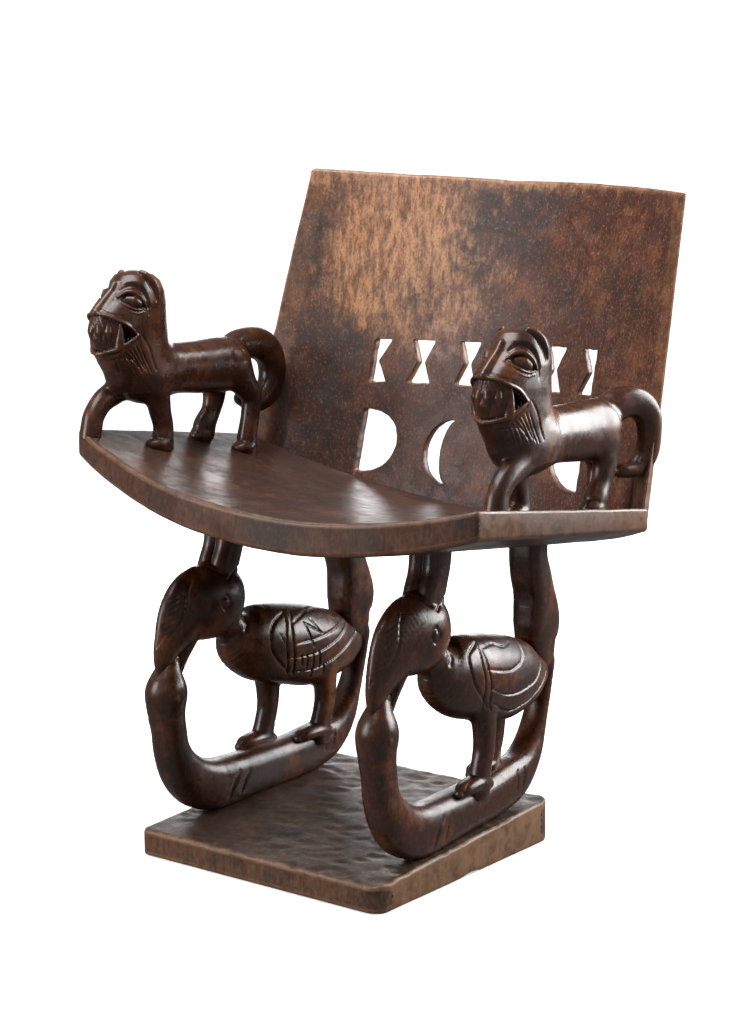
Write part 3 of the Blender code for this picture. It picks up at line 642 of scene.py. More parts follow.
birdBodyRows = [
    (-38, 241, 17, 20), (-23, 227, 26, 36), (0, 218, 31, 44), (30, 211, 34, 47),
    (60, 205, 35, 48), (95, 197, 34, 48), (125, 193, 31, 43), (150, 190, 25, 35),
    (172, 192, 18, 24), (188, 197, 10, 12), (197, 199, 5, 5)]
postRows = [
    (186, 196, 14, 8), (181, 207, 17, 17), (175, 225, 19, 25), (176, 246, 21, 29),
    (173, 266, 21, 26), (168, 286, 21, 21), (161, 306, 21, 20), (156, 324, 21, 17),
    (156, 346, 21, 16), (156, 376, 21, 16)]
birdEarRows = [(-64, 296, 11.4, 17), (-56, 315, 11.4, 18), (-49, 333, 11.4, 17), (-45, 350, 11.8, 18),
               (-42, 378, 11.8, 18)]
birdLegRows = [(40, 172, 13, 17), (42, 150, 12, 14.5), (41, 130, 11.5, 12.5), (36, 112, 11, 12.5),
               (32, 98, 12, 13), (30, 84, 12, 14)]
birdFootRows = [(42, 92, 12, 8), (20, 95, 12.5, 9), (2, 94, 11, 7.5), (-8, 91, 6, 5)]
birdLegOut, birdStride, birdEarOut = 15, 68, 9.6

# Lines cut on the wings, as seen from the side: points, width and height of the relief
rightWing = [
    ([(18, 252), (-4, 243), (-6, 226), (1, 209), (17, 193), (30, 180)], 1.4, -2.4),
    ([(19, 250), (15, 233), (17, 213), (18, 195), (23, 178)], 1.1, -2.3),
    ([(21, 246), (24, 225), (28, 206), (29, 191), (35, 176)], 1.1, -2.0),
    ([(23, 224), (54, 217), (76, 216), (98, 222), (110, 238)], 1.0, -2.0),
    ([(27, 203), (55, 191), (78, 187), (98, 188), (127, 193), (150, 208)], 1.2, -2.4),
    ([(36, 185), (66, 170), (86, 166), (115, 170), (151, 182), (168, 195)], 1.3, -2.6),
    ([(24, 246), (48, 246), (66, 240), (87, 241)], 1.0, -1.5)]
leftWing = [
    ([(30, 249), (8, 241), (-1, 229), (0, 210), (13, 194), (30, 181)], 1.4, -2.4),
    ([(30, 247), (27, 237), (22, 219), (24, 197), (31, 177)], 1.1, -2.2),
    ([(43, 248), (35, 235), (33, 212), (37, 187), (41, 175)], 1.1, -2.2),
    ([(36, 236), (70, 244), (96, 246)], 1.0, -1.7),
    ([(23, 197), (70, 196), (108, 204), (146, 219)], 1.1, -2.3),
    ([(37, 213), (70, 213), (108, 217), (146, 226)], 1.0, -1.9),
    ([(37, 178), (75, 176), (109, 184), (144, 198), (164, 204)], 1.3, -2.6),
    ([(57, 234), (67, 204)], 1.0, -2.0), ([(57, 234), (86, 217)], 1.0, -2.0),
    ([(71, 236), (84, 217)], 0.9, -1.7), ([(46, 200), (50, 184)], 0.9, -1.9),
    ([(56, 200), (59, 180)], 0.9, -1.9), ([(66, 200), (70, 178)], 0.9, -1.9),
    ([(77, 198), (82, 177)], 0.9, -1.9), ([(12, 228), (22, 208)], 0.7, -0.8),
    ([(88, 182), (92, 168)], 0.9, -1.5), ([(70, 180), (72, 166)], 0.9, -1.5)]
snakeStrokes = [
    ([(-45, 77), (-56, 66), (-65, 51)], 1.3, -2.0), ([(-28, 76), (-38, 65), (-45, 52)], 1.2, -1.9),
    ([(110, 90), (107, 79), (103, 66)], 1.2, -2.0), ([(124, 89), (121, 78), (116, 67)], 1.2, -2.0)]


def toSupport(points, side):
    unit = supportForm["length"] / supportForm["grid"]
    middle = baseBoard["width"] / 2 - supportForm["inset"]
    floor = baseTop(0.0)
    rise = (seatUnder(middle, 0.0) + seatUnder(-middle, 0.0)) / 2 - floor
    outwards, along, height = np.moveaxis(np.asarray(points, dtype=float), -1, 0)
    y = along * unit
    x = side * (middle - supportForm["toeIn"] * y + outwards * unit)
    above = height - supportForm["gridFloor"]
    nearFloor = np.clip(1 - above / supportForm["floorBlend"], 0, 1)
    z = floor + above * rise / supportForm["gridRise"] + (baseTop(y) - floor) * nearFloor
    return np.stack([x, y, z], axis=-1)


def trimToSeat(block, side):
    # Cuts the tops off a joint's depth inside the seat
    o, s, h = block["axes"]
    across, along = np.meshgrid(o, s, indexing="ij")
    low = toSupport(np.stack([across, along, np.full_like(across, 300.0)], axis=-1), side)
    high = toSupport(np.stack([across, along, np.full_like(across, 400.0)], axis=-1), side)
    limit = seatUnder(low[..., 0], low[..., 1]) + supportForm["jointDepth"]
    top = 300 + 100 * (limit - low[..., 2]) / (high[..., 2] - low[..., 2])
    above = (h[None, None, :] - top[..., None]).astype(np.float32)
    block["field"] = np.maximum(block["field"], above)


def finishFigure(name, block, place, seed, seam=None):
    points, quads, wearAndPaintedLight = surfaceOf(block)
    if seam is not None:
        wearAndPaintedLight *= np.clip(np.abs(points[:, 1] - seam) / 6 - 0.4, 0, 1)
    points = place(points)
    for axis in range(3):
        wave = handWave(points, 0.030, seed + axis) + 0.45 * handWave(points, 0.011, seed + 10 + axis)
        points[:, axis] += supportForm["handWave"] * wave
    points[:, 1] += frameShift
    figure = meshFromArrays(name, points, quads, wearAndPaintedLight)
    # Fewer faces, taken first where the surface is plain
    fewer = figure.modifiers.new("Fewer", "DECIMATE")
    fewer.ratio = min(supportForm["mostTriangles"] / (2 * len(quads)), 1.0)
    figure.data = applied(figure, fewer)
    figure.data.shade_smooth()
    return figure


def carveSnake(side):
    block = makeBlock((-40, -172, 34), (40, 216, 388), supportForm["snakeStep"])
    addLimb(block, snakeRows, 0, 2.5, 3, count=90)
    addLimb(block, postRows, 0, 3.5, 7, count=40)
    addBall(block, (0, -141, 184), (20.5, 22, 22), 8)
    mouth = [(20, -138, 163), (12, -154, 158), (0, -160, 155), (-12, -154, 158), (-20, -138, 163)]
    addTube(block, mouth, [0.9], 0.3, 1.5, True, flanks=(1,))
    for flank in (1, -1):
        addBall(block, (flank * 20, -146, 180), (2.6, 4.2, 4.2), 0.6)
    addTube(block, [(21, -146, 186.5), (21, -152, 180), (21, -146, 173.5), (20, -140, 180),
                    (21, -146, 186.5)], [0.9], 0.3, 0.6, True)
    addRelief(block, snakeStrokes, (-80, 40), (140, 100), 10, 16)
    trimToSeat(block, side)
    return finishFigure("snakeRight" if side > 0 else "snakeLeft", block,
                        lambda points: toSupport(points, side), 60 if side > 0 else 90)


def carveBird(side):
    block = makeBlock((-42, -162, 78), (42, 204, 388), supportForm["birdStep"])
    addLimb(block, birdBodyRows, 0, 2.0, 3, count=60)
    for out, stride in ((birdLegOut, 0), (-birdLegOut, birdStride)):
        shift = np.array([stride, 0, 0, 0])
        addLimb(block, np.array(birdLegRows) + shift, out, 2.3, 6, count=30)
        addLimb(block, np.array(birdFootRows) + shift, out, 2.3, 3, count=24)
        for toe in (-4.5, 4.5):
            addTube(block, [(out + toe, 12 + stride, 103), (out + toe * 1.1, -8 + stride, 92)],
                    [1.0, 1.4], 0.2, 1.2, True, flanks=(1,))
        ankle = [(out - 12, 41 + stride, 112), (out, 52 + stride, 112), (out + 12, 41 + stride, 112)]
        addTube(block, ankle, [0.8], 0.2, 1, True, flanks=(1,))
    addLimb(block, birdHeadRows, 0, 2.0, 9, count=50)
    addLimb(block, lowerBeakRows, 0, 2.0, 1.5, count=24)
    addLimb(block, casqueRows, 0, 2.2, 4, count=36)
    for out in (-birdEarOut, birdEarOut):
        addLimb(block, birdEarRows, out, 2.4, 1.6, count=30)
    # The collar where the ears meet the head, the beak's slit and the edge of the crest
    addTube(block, [(22, -72, 308), (0, -84, 312), (-22, -72, 308)], [1.8], 0.4, 1.5, True, flanks=(1,))
    addTube(block, [(24, -66, 302), (20, -46, 312), (0, -38, 312)], [1.6], 0.4, 1.5, True)
    addTube(block, [(10, -104, 246), (9, -118, 228), (7, -130, 210)], [1.6, 1.3, 1.2], 0.2, 1, True)
    addTube(block, [(12, -112, 306), (12, -119, 292), (12, -124, 274), (10, -134, 258), (7, -146, 246)],
            [1.2, 1.5, 1.5, 1.3, 0.8], 0.2, 1, True)
    crest = [(11, -119, 297), (12, -122, 286), (12, -126, 274), (10, -134, 260), (7, -145, 248)]
    for index, (out, along, height) in enumerate(smoothRows(crest, 8)):
        addTube(block, [(out, along - 2, height - 1), (out * 0.7, along - 12, height - 6),
                        (out * 0.35, along - 21 + index, height - 10)], [0.6, 1.3, 0.9], 0.25, 0.8, True)
    addTube(block, [(27, -74, 286), (28, -81, 279), (28, -76, 270), (28, -68, 277), (27, -74, 286)],
            [1.8], 0.3, 0.8, True)
    for flank in (1, -1):
        addBall(block, (flank * 25.5, -74.5, 278), (5.2, 5.0, 6.2), 0.5)
    addRelief(block, rightWing if side > 0 else leftWing, (-15, 155), (185, 262), 6, 13)
    # A fold of the neck against the breast
    addTube(block, [(24, -34, 240), (26, -24, 258), (18, -18, 264)], [2.2], 1.0, 3, True)
    trimToSeat(block, side)
    return finishFigure("birdRight" if side > 0 else "birdLeft", block,
                        lambda points: toSupport(points, side), 120 if side > 0 else 150)


lionForm = {
    "length": 0.330, "grid": 330.0, "inset": 0.0325, "stagger": 0.019, "cant": 0.003,
    "jointDepth": 6.0, "headStep": 0.85, "bodyStep": 1.3, "outerLeg": 14, "innerLeg": -15,
    "splitAt": -18, "overlap": 1.5, "lipDepth": 3.2, "pocketDepth": 13.0}
lionHeadRows = [
    (46, -42, 44, 25), (62, -48, 50, 27), (78, -56, 54, 28), (92, -64, 55, 28.5), (106, -69, 57, 29),
    (122, -70.5, 56.5, 30), (134, -69, 54, 30), (145, -63.5, 47.5, 30), (159, -57, 37.5, 28.5),
    (170, -56, 31, 25.5), (177, -58, 23, 20), (180, -60, 14, 13), (182, -60, 4, 4)]
lionBodyRows = [
    (-84, 60, 14, 14), (-72, 61, 23, 26), (-45, 64, 27, 35), (0, 67, 26, 30), (45, 66, 26, 31),
    (82, 66, 27, 33), (103, 66, 25, 31), (115, 64, 19, 24), (123, 62, 10, 13)]
lionTailRows = {
    1: [(92, 75, 15, 16), (112, 87, 15.5, 17), (132, 93, 15, 17), (149, 88, 14, 16), (160, 76, 12, 13),
        (163, 60, 11, 11), (162, 42, 11, 10), (156, 28, 11, 10), (144, 19, 11, 9), (128, 18, 10, 8)],
    -1: [(92, 75, 15, 16), (114, 86, 16, 18), (140, 89, 16, 19), (168, 86, 16, 20), (189, 74, 16, 21),
         (197, 56, 16, 21), (194, 38, 15, 20), (182, 24, 14, 17), (164, 16, 13, 13), (146, 16, 12, 10),
         (130, 22, 11, 9)]}
lionTailSwing = {1: 0.37, -1: 0.12}
lionTailRoot = 92
outerForeRows = [(-56, 60, 13, 18), (-76, 46, 12, 15), (-98, 35, 11.5, 13), (-112, 20, 11, 12.5),
                 (-117, 4, 11.5, 12.5), (-119, -6, 12, 13)]
innerForeRows = [(-50, 60, 13, 20), (-40, 42, 12, 17), (-35, 22, 11, 14), (-30, 2, 10.5, 12.5),
                 (-32, -16, 12, 14), (-34, -30, 12, 15)]
outerHindRows = [(90, 66, 13, 23), (90, 44, 12.5, 19), (90, 27, 11.5, 15), (84, 10, 10.5, 12.5),
                 (74, -4, 12, 14), (70, -14, 12, 16)]
innerHindRows = [(100, 62, 13, 23), (111, 44, 12.5, 18), (125, 26, 11.5, 14), (123, 4, 10.5, 12),
                 (117, -20, 11, 12.5), (114, -44, 12, 15)]
# Places on the head's near flank: outwards, along and height
lionFace = {
    "browGroove": [(10.8, -91.4, 159.7), (16, -84.3, 165), (21.8, -77.8, 164.4), (27, -71.7, 157.8),
                   (29.8, -65.3, 142.4)],
    "upperLid": [(12.5, -97.7, 153.1), (16.8, -89.3, 158.2), (23, -81.4, 157.8), (28.2, -74.3, 150.1),
                 (29.8, -69.3, 141.4)],
    "socket": [(14.5, -97.3, 151.2), (20, -90, 151), (25.5, -82.5, 148.5), (29.2, -74, 142)],
    "lowerLid": [(14.5, -98.8, 151), (20.5, -96.5, 145.2), (25.5, -91.7, 141.5), (28.5, -82, 138.5),
                 (29.6, -72.3, 139.5)],
    "lowerRim": [(10.8, -102.4, 150.2), (19, -101.2, 143.1), (25.5, -94, 138), (28.5, -84, 135),
                 (29.5, -74, 136.5)],
    "cheekLine": [(3.8, -116.2, 139.9), (17, -113.6, 135.2), (24.8, -101.7, 132.2)],
    "upperLip": [(28.5, -82.7, 110.1), (27.2, -96, 121.8), (21.8, -108.8, 128.4), (12.5, -118.7, 134.1),
                 (0, -122, 135.5)],
    "lowerLip": [(28.5, -82.7, 110.1), (26.5, -93, 103.6), (21, -104.8, 96.2), (10.2, -115.7, 91.6),
                 (0, -119, 89.8)],
    "beardEdge": [(29.2, -76.6, 110.3), (28.5, -63.7, 94.1), (27.8, -57.7, 76.9), (27.2, -55, 69.8)],
    "ear": [(15, -62.3, 179), (23.8, -56, 171.9), (27.5, -51, 161.9), (28.2, -49, 152)],
    "earGroove": [(17, -66, 177.5), (24, -62, 170), (27.8, -57.5, 160), (28.4, -53.5, 148)]}


def lionPlace():
    # One step of the lion's own grid in metres, and how far out from the middle it stands
    return lionForm["length"] / lionForm["grid"], seatHalfWidth(0.0) - lionForm["inset"]


def lionFloor(side):
    unit, middle = lionPlace()
    return seatTop(side * (middle + lionForm["outerLeg"] * unit), -110 * unit) - side * lionForm["cant"]


def toLion(points, side):
    unit, middle = lionPlace()
    outwards, along, height = np.moveaxis(np.asarray(points, dtype=float), -1, 0)
    x = side * (middle + outwards * unit)
    y = along * unit + side * lionForm["stagger"]
    return np.stack([x, y, lionFloor(side) + height * unit], axis=-1)


def seatLevel(out, along, side):
    # The seat's surface under a place on the lion's own grid
    unit, middle = lionPlace()
    x = side * (middle + out * unit)
    y = along * unit + side * lionForm["stagger"]
    return (seatTop(x, y) - lionFloor(side)) / unit


def headShape(o, s, h):
    heights = np.array([row[0] for row in lionHeadRows], float)
    rows = np.array(lionHeadRows, float)
    middle, length, width = [np.interp(h, heights, rows[:, k]) for k in (1, 2, 3)]
    slope = np.gradient(length, h) if len(h) > 1 else np.zeros_like(length)
    share = ((np.abs(o)[:, None, None] / width) ** 2.15
             + (np.abs(s[None, :, None] - middle) / length) ** 2.15) ** (1 / 2.15)
    flat = np.sqrt(o[:, None, None] ** 2 + (s[None, :, None] - middle) ** 2)
    distance = flat * (1 - 1 / np.maximum(share, 0.03)) / np.sqrt(1 + np.minimum(slope ** 2, 6))
    distance = np.maximum(distance, h[None, None, :] - heights[-1])
    return np.maximum(distance, heights[0] - h[None, None, :]).astype(np.float32)


def insideOutline(s, h, outline):
    # A signed distance to a closed outline in the (along, height) plane
    along, height = np.meshgrid(s, h, indexing="ij")
    path = np.array(outline + outline[:1], float)
    away, station = nearestOnPath(along, height, path)
    inside = np.zeros(along.shape, bool)
    for (s0, h0), (s1, h1) in zip(path[:-1], path[1:]):
        if h0 != h1:
            crossing = s0 + (height - h0) * (s1 - s0) / (h1 - h0)
            inside ^= ((h0 > height) != (h1 > height)) & (along < crossing)
    return np.where(inside, -away, away)


def carveMouth(block):
    slices, (o, s, h) = part(block, (-40, -140, 80), (40, -74, 142))
    if min(len(o), len(s), len(h)) == 0:
        return
    lips = lionFace["upperLip"], lionFace["lowerLip"]
    outline = ([(-82.7, 110)] + [(p[1], p[2]) for p in lips[0][1:4]] + [(-134, 138), (-134, 87)]
               + [(p[1], p[2]) for p in lips[1][3:0:-1]])
    opening = insideOutline(s, h, outline)[None]
    pocket = easeIn(s, -106, -101)[None, :, None]
    depth = lionForm["lipDepth"] + (lionForm["pocketDepth"] - lionForm["lipDepth"]) * pocket
    recess = np.maximum(opening, -(headShape(o, s, h) + depth))
    merge(block, slices, recess.astype(np.float32), 1.2, True)


def carveFace(block):
    carveMouth(block)
    # The teeth block: leaf-shaped front teeth, a tall fang and grooves between them
    for out, along, wide in ((5.6, -121, 4.6), (15.2, -115, 4.6)):
        addTube(block, [(out - 1.2, along, 131), (out, along, 115), (out + 0.6, along + 1, 98)],
                [0.8, wide, 1.6], 2.0 - wide, 0.3)
        for edge in (-1, 1):
            addTube(block, [(out - 1, along, 132), (out + edge * wide, along + 1 + edge, 115),
                            (out + 0.6, along + 1, 96)], [0.5, 1.0, 0.7], 0.2, 0.4, True)
    addTube(block, [(0, -119, 133), (0, -120, 96)], [0.9, 0.9], 0, 0.5, True, flanks=(1,))
    addTube(block, [(18.8, -102.5, 97), (20.0, -103, 105.5), (21.6, -103.5, 115), (22.8, -104, 126)],
            [5.9, 5.2, 3.1, 0.7], 0, 0.5, settle=False)
    addTube(block, [(19.5, -110, 97), (21.5, -108.5, 110), (22.6, -106.5, 124)], [1.0, 1.0, 0.6], 0, 0.4,
            True, settle=False)
    # Lips, drawn as one line round the muzzle
    for line, thick, lift in (("upperLip", [1.0, 1.5, 1.7, 1.6, 1.5], 0.0),
                              ("lowerLip", [1.4, 2.2, 2.6, 2.4, 2.2], 0.7)):
        addTube(block, lionFace[line], thick, lift, 1.2, settle=False)
    below = [(o, s - 0.5, h - 5.2) for o, s, h in lionFace["lowerLip"]]
    addTube(block, below, [0.9, 1.1, 1.2, 1.2, 1.0], 0.1, 0.8, True)
    # Nose, eyes, brows, ears and beard
    addTube(block, [(0, -88, 166), (0, -99, 158), (0, -109, 149), (0, -117, 141), (0, -121, 137)],
            [2.5, 3.2, 3.6, 4.0, 3.0], 1.2, 5, flanks=(1,))
    addTube(block, lionFace["browGroove"], [1.6, 3.6, 4.2, 3.8, 2.2], 1.2, 2.0, True)
    addTube(block, lionFace["socket"], [4.0, 8.4, 9.4, 5.0], 2.2, 0.8, True)
    addTube(block, [(14.6, -84, 148.0), (18.4, -80, 146.6), (20.8, -77, 145.2)], [8.2, 9.4, 8.0],
            0, 0.4, settle=False)
    addTube(block, lionFace["upperLid"], [1.3, 2.2, 2.5, 2.2, 1.3], 0.8, 0.9, settle=False)
    addTube(block, lionFace["lowerLid"], [1.0, 1.4, 1.5, 1.4, 1.0], 0.5, 0.7, settle=False)
    addTube(block, lionFace["lowerRim"], [0.8, 1.1, 1.2, 1.1, 0.8], 0.3, 0.7, settle=False)
    between = [((a[0] + b[0]) / 2, (a[1] + b[1]) / 2, (a[2] + b[2]) / 2)
               for a, b in zip(lionFace["lowerLid"], lionFace["lowerRim"])]
    addTube(block, between, [0.6, 0.9, 1.0, 0.9, 0.6], 0.3, 0.6, True)
    addTube(block, [(29.8, -69.5, 149), (30, -66.5, 142), (30, -66, 133)], [1.2, 1.6, 0.8], 0.2, 1.0,
            True)
    addTube(block, lionFace["cheekLine"], [0.7, 1.0, 0.7], 0.2, 0.6, True)
    addTube(block, lionFace["ear"], [3.4, 4.2, 3.4, 1.6], 0.2, 1.6)
    addTube(block, lionFace["earGroove"], [1.6, 2.0, 1.8, 1.0], 0.5, 1.4, True)
    addTube(block, lionFace["beardEdge"], [0.8, 1.5, 1.5, 1.0], 0.3, 1.2, True)
    random = np.random.default_rng(17)
    for index in range(9):
        share = (index + 0.5) / 9
        top, foot = -76 - 40 * share ** 0.8, -60 - 37 * share
        lipHeight = np.interp(-top, [82.7, 93, 104.8, 115.7], [108, 101, 93, 88])
        out = np.interp(-top, [76, 93, 105, 116], [29, 26.5, 21, 10])
        addTube(block, [(out, top, lipHeight - random.uniform(6, 9)), (out * 0.99, (top + foot) / 2, 84),
                        (out * 0.97, foot, 69 + random.uniform(-3, 5))],
                [0.7, random.uniform(1.1, 1.5), 0.7], 0.1, 0.8, True)


def lionLegs(block, side):
    for rows, out in ((outerForeRows, lionForm["outerLeg"]), (innerForeRows, lionForm["innerLeg"]),
                      (outerHindRows, lionForm["outerLeg"]), (innerHindRows, lionForm["innerLeg"])):
        addLimb(block, rows, out, 2.2, 6, count=36)
    # Paws with cut toes
    for out, along in ((-15, -35), (14, 70), (-15, 114)):
        level = seatLevel(out, along, side)
        addBall(block, (out, along - 5, level + 5), (12.5, 15, 8.5), 3)
        addTube(block, [(out - 11, along - 8, level + 14), (out, along - 13, level + 15),
                        (out + 11, along - 8, level + 14)], [1.2], 0.4, 1.2, True, flanks=(1,))


def carveLion(side, front):
    split, overlap = lionForm["splitAt"], lionForm["overlap"]
    if front:
        block = makeBlock((-38, -142, -24), (38, split, 188), lionForm["headStep"])
    else:
        block = makeBlock((-38, split - overlap, -60), (48, 232, 124), lionForm["bodyStep"])
    addLimb(block, lionBodyRows, 0, 2.2, 5, count=60)
    lionLegs(block, side)
    addLimb(block, lionTailRows[side], 0, 2.2, 3, 60, lionTailSwing[side], lionTailRoot)
    slices, (o, s, h) = part(block, (-40, -140, 40), (40, 4, 190))
    merge(block, slices, headShape(o, s, h), 9)
    if front:
        carveFace(block)
    addTube(block, [(0, 88, 98), (16, 94, 93), (25, 104, 80), (25, 113, 66)], [1.3, 1.4, 1.4, 0.8], 0.3, 1,
            True)
    o, s, h = block["axes"]
    across, along = np.meshgrid(o, s, indexing="ij")
    limit = seatLevel(across, along, side) - lionForm["jointDepth"]
    block["field"] = np.maximum(block["field"], (limit[..., None] - h[None, None, :]).astype(np.float32))
    name = ("lionHead" if front else "lionBody") + ("Right" if side > 0 else "Left")
    seed = 200 if side > 0 else 230
    return finishFigure(name, block, lambda points: toLion(points, side), seed, split)


teeth = {"count": 8, "width": 0.0028, "height": 0.0036, "seed": 5, "sides": 6}


def rowTree(material, sides):
    # Small pointed forms set in a row along a line, each leaning the way that the line says
    tree = bpy.data.node_groups.new("rowOfPoints", "GeometryNodeTree")
    face = tree.interface
    for name, kind in (("Line", "Geometry"), ("Count", "Int"), ("Width", "Float"), ("Height", "Float"),
                       ("Seed", "Int")):
        face.new_socket(name, in_out="INPUT", socket_type="NodeSocket" + kind)
    face.new_socket("Row", in_out="OUTPUT", socket_type="NodeSocketGeometry")
    nodes, links = tree.nodes, tree.links
    start, end = nodes.new("NodeGroupInput"), nodes.new("NodeGroupOutput")
    curve = nodes.new("GeometryNodeMeshToCurve")
    spaced = nodes.new("GeometryNodeResampleCurve")
    cone = nodes.new("GeometryNodeMeshCone")
    cone.inputs["Vertices"].default_value = sides
    cone.inputs["Side Segments"].default_value = 3
    cone.inputs["Radius Top"].default_value = 0.12
    cone.inputs["Radius Bottom"].default_value = 0.5
    cone.inputs["Depth"].default_value = 1.0
    lean = nodes.new("GeometryNodeInputNamedAttribute")
    lean.data_type = "FLOAT_VECTOR"
    lean.inputs["Name"].default_value = "lean"
    aim = nodes.new("FunctionNodeAlignRotationToVector")
    aim.axis = "Z"
    size = nodes.new("ShaderNodeCombineXYZ")
    vary = nodes.new("FunctionNodeRandomValue")
    vary.inputs[2].default_value = 0.72
    vary.inputs[3].default_value = 1.18
    tall = nodes.new("ShaderNodeMath")
    tall.operation = "MULTIPLY"
    placed = nodes.new("GeometryNodeInstanceOnPoints")
    real = nodes.new("GeometryNodeRealizeInstances")
    painted = nodes.new("GeometryNodeSetMaterial")
    painted.inputs["Material"].default_value = material
    for giver, out, taker, into in (
            (start, "Line", curve, "Mesh"), (curve, "Curve", spaced, "Curve"),
            (start, "Count", spaced, "Count"), (spaced, "Curve", placed, "Points"),
            (cone, "Mesh", placed, "Instance"), (lean, "Attribute", aim, "Vector"),
            (aim, "Rotation", placed, "Rotation"), (start, "Seed", vary, "Seed"),
            (start, "Height", tall, 0), (vary, 1, tall, 1), (start, "Width", size, "X"),
            (start, "Width", size, "Y"), (tall, "Value", size, "Z"), (size, "Vector", placed, "Scale"),
            (placed, "Instances", real, "Geometry"), (real, "Geometry", painted, "Geometry"),
            (painted, "Geometry", end, "Row")):
        links.new(giver.outputs[out], taker.inputs[into])
    return tree


def makeRow(name, tree, lines, settings):
    # One plain mesh from a row on each line; a line is its points and the way its points lean
    made = []
    for index, (points, lean) in enumerate(lines):
        mesh = bpy.data.meshes.new(name)
        steps = [(i, i + 1) for i in range(len(points) - 1)]
        mesh.from_pydata([tuple(point) for point in points], steps, [])
        layer = mesh.attributes.new("lean", "FLOAT_VECTOR", "POINT")
        layer.data.foreach_set("vector", np.asarray(lean, dtype=np.float32).ravel())
        row = bpy.data.objects.new(name, mesh)
        bpy.context.scene.collection.objects.link(row)
        grow = row.modifiers.new("Row", "NODES")
        grow.node_group = tree
        values = {"Count": settings["count"], "Width": settings["width"],
                  "Height": settings["height"], "Seed": settings["seed"] + index}
        for item in tree.interface.items_tree:
            if item.in_out == "INPUT" and item.name in values:
                grow[item.identifier] = values[item.name]
        made.append(applied(row, grow))
        bpy.data.objects.remove(row)
    work = bmesh.new()
    for mesh in made:
        work.from_mesh(mesh)
    bmesh.ops.remove_doubles(work, verts=work.verts, dist=1e-6)
    bmesh.ops.recalc_face_normals(work, faces=work.faces)
    joined = bpy.data.meshes.new(name)
    work.to_mesh(joined)
    work.free()
    layer = joined.attributes.new("wearAndPaintedLight", "FLOAT", "POINT")
    layer.data.foreach_set("value", np.full(len(joined.vertices), 0.35, np.float32))
    joined.shade_smooth()
    result = bpy.data.objects.new(name, joined)
    bpy.context.scene.collection.objects.link(result)
    return result


def toothLines(side):
    lines = []
    for name, lean, first, last in (("upperLip", (0, 0.25, -1), 1, 2.6),
                                    ("lowerLip", (0, 0.25, 1), 1, 2.9)):
        rows = smoothRows(lionFace[name], 41)
        chosen = rows[int(first * 10) - 6:int(last * 10)]
        for flank in (1, -1):
            inset = chosen * np.array([flank * 0.90, 1, 1]) + np.array([0, 1.0, 1.8 * lean[2]])
            points = toLion(inset, side) + np.array([0, frameShift, 0])
            direction = np.array(lean, float) / np.linalg.norm(lean)
            lines.append((points, np.tile(direction, (len(points), 1))))
    return lines


def tone(red, green, blue):
    # A picture colour, 0 to 255, as the linear colour that a shader takes
    values = np.array([red, green, blue]) / 255
    linear = np.where(values <= 0.04045, values / 12.92, ((values + 0.055) / 1.055) ** 2.4)
    return (*linear.tolist(), 1.0)


woods = {
    "figureWood": {
        "base": tone(60, 29, 14), "dark": tone(24, 11, 8), "warm": tone(124, 68, 30),
        "worn": tone(126, 80, 50), "patch": 11.0, "speck": 360.0, "grain": (60, 60, 12),
        "dark share": 0.75, "warm share": 0.62, "speck share": 0.38, "edge share": 0.24,
        "roughness": (0.24, 0.38), "bump": 0.05},
    "backWood": {
        "base": tone(72, 38, 25), "dark": tone(32, 18, 15), "warm": tone(118, 68, 40),
        "worn": tone(196, 142, 100), "patch": 11.0, "speck": 470.0, "grain": (150, 150, 14),
        "dark share": 0.95, "warm share": 0.65, "speck share": 0.50, "edge share": 0.30,
        "roughness": (0.32, 0.52), "bump": 0.30,
        "worn zone": ((-0.13, 0.15, 0.67), (0.125, 0.60, 0.105)), "rim": (0.732, 0.754)},
    "seatWood": {
        "base": tone(70, 46, 36), "dark": tone(36, 24, 20), "warm": tone(108, 72, 50),
        "worn": tone(140, 100, 72), "patch": 9.0, "speck": 260.0, "grain": (9, 130, 130),
        "edge base": tone(86, 52, 34), "dark share": 0.75, "warm share": 0.45, "speck share": 0.40,
        "edge share": 0.40, "roughness": (0.28, 0.46), "bump": 0.30},
    "baseWood": {
        "base": tone(58, 41, 31), "dark": tone(32, 22, 18), "warm": tone(96, 68, 48),
        "worn": tone(150, 112, 80), "patch": 14.0, "speck": 240.0, "grain": (10, 110, 110),
        "edge base": tone(104, 68, 46), "dark share": 0.75, "warm share": 0.50, "speck share": 0.45,
        "edge share": 0.55, "roughness": (0.38, 0.60), "bump": 0.40}}


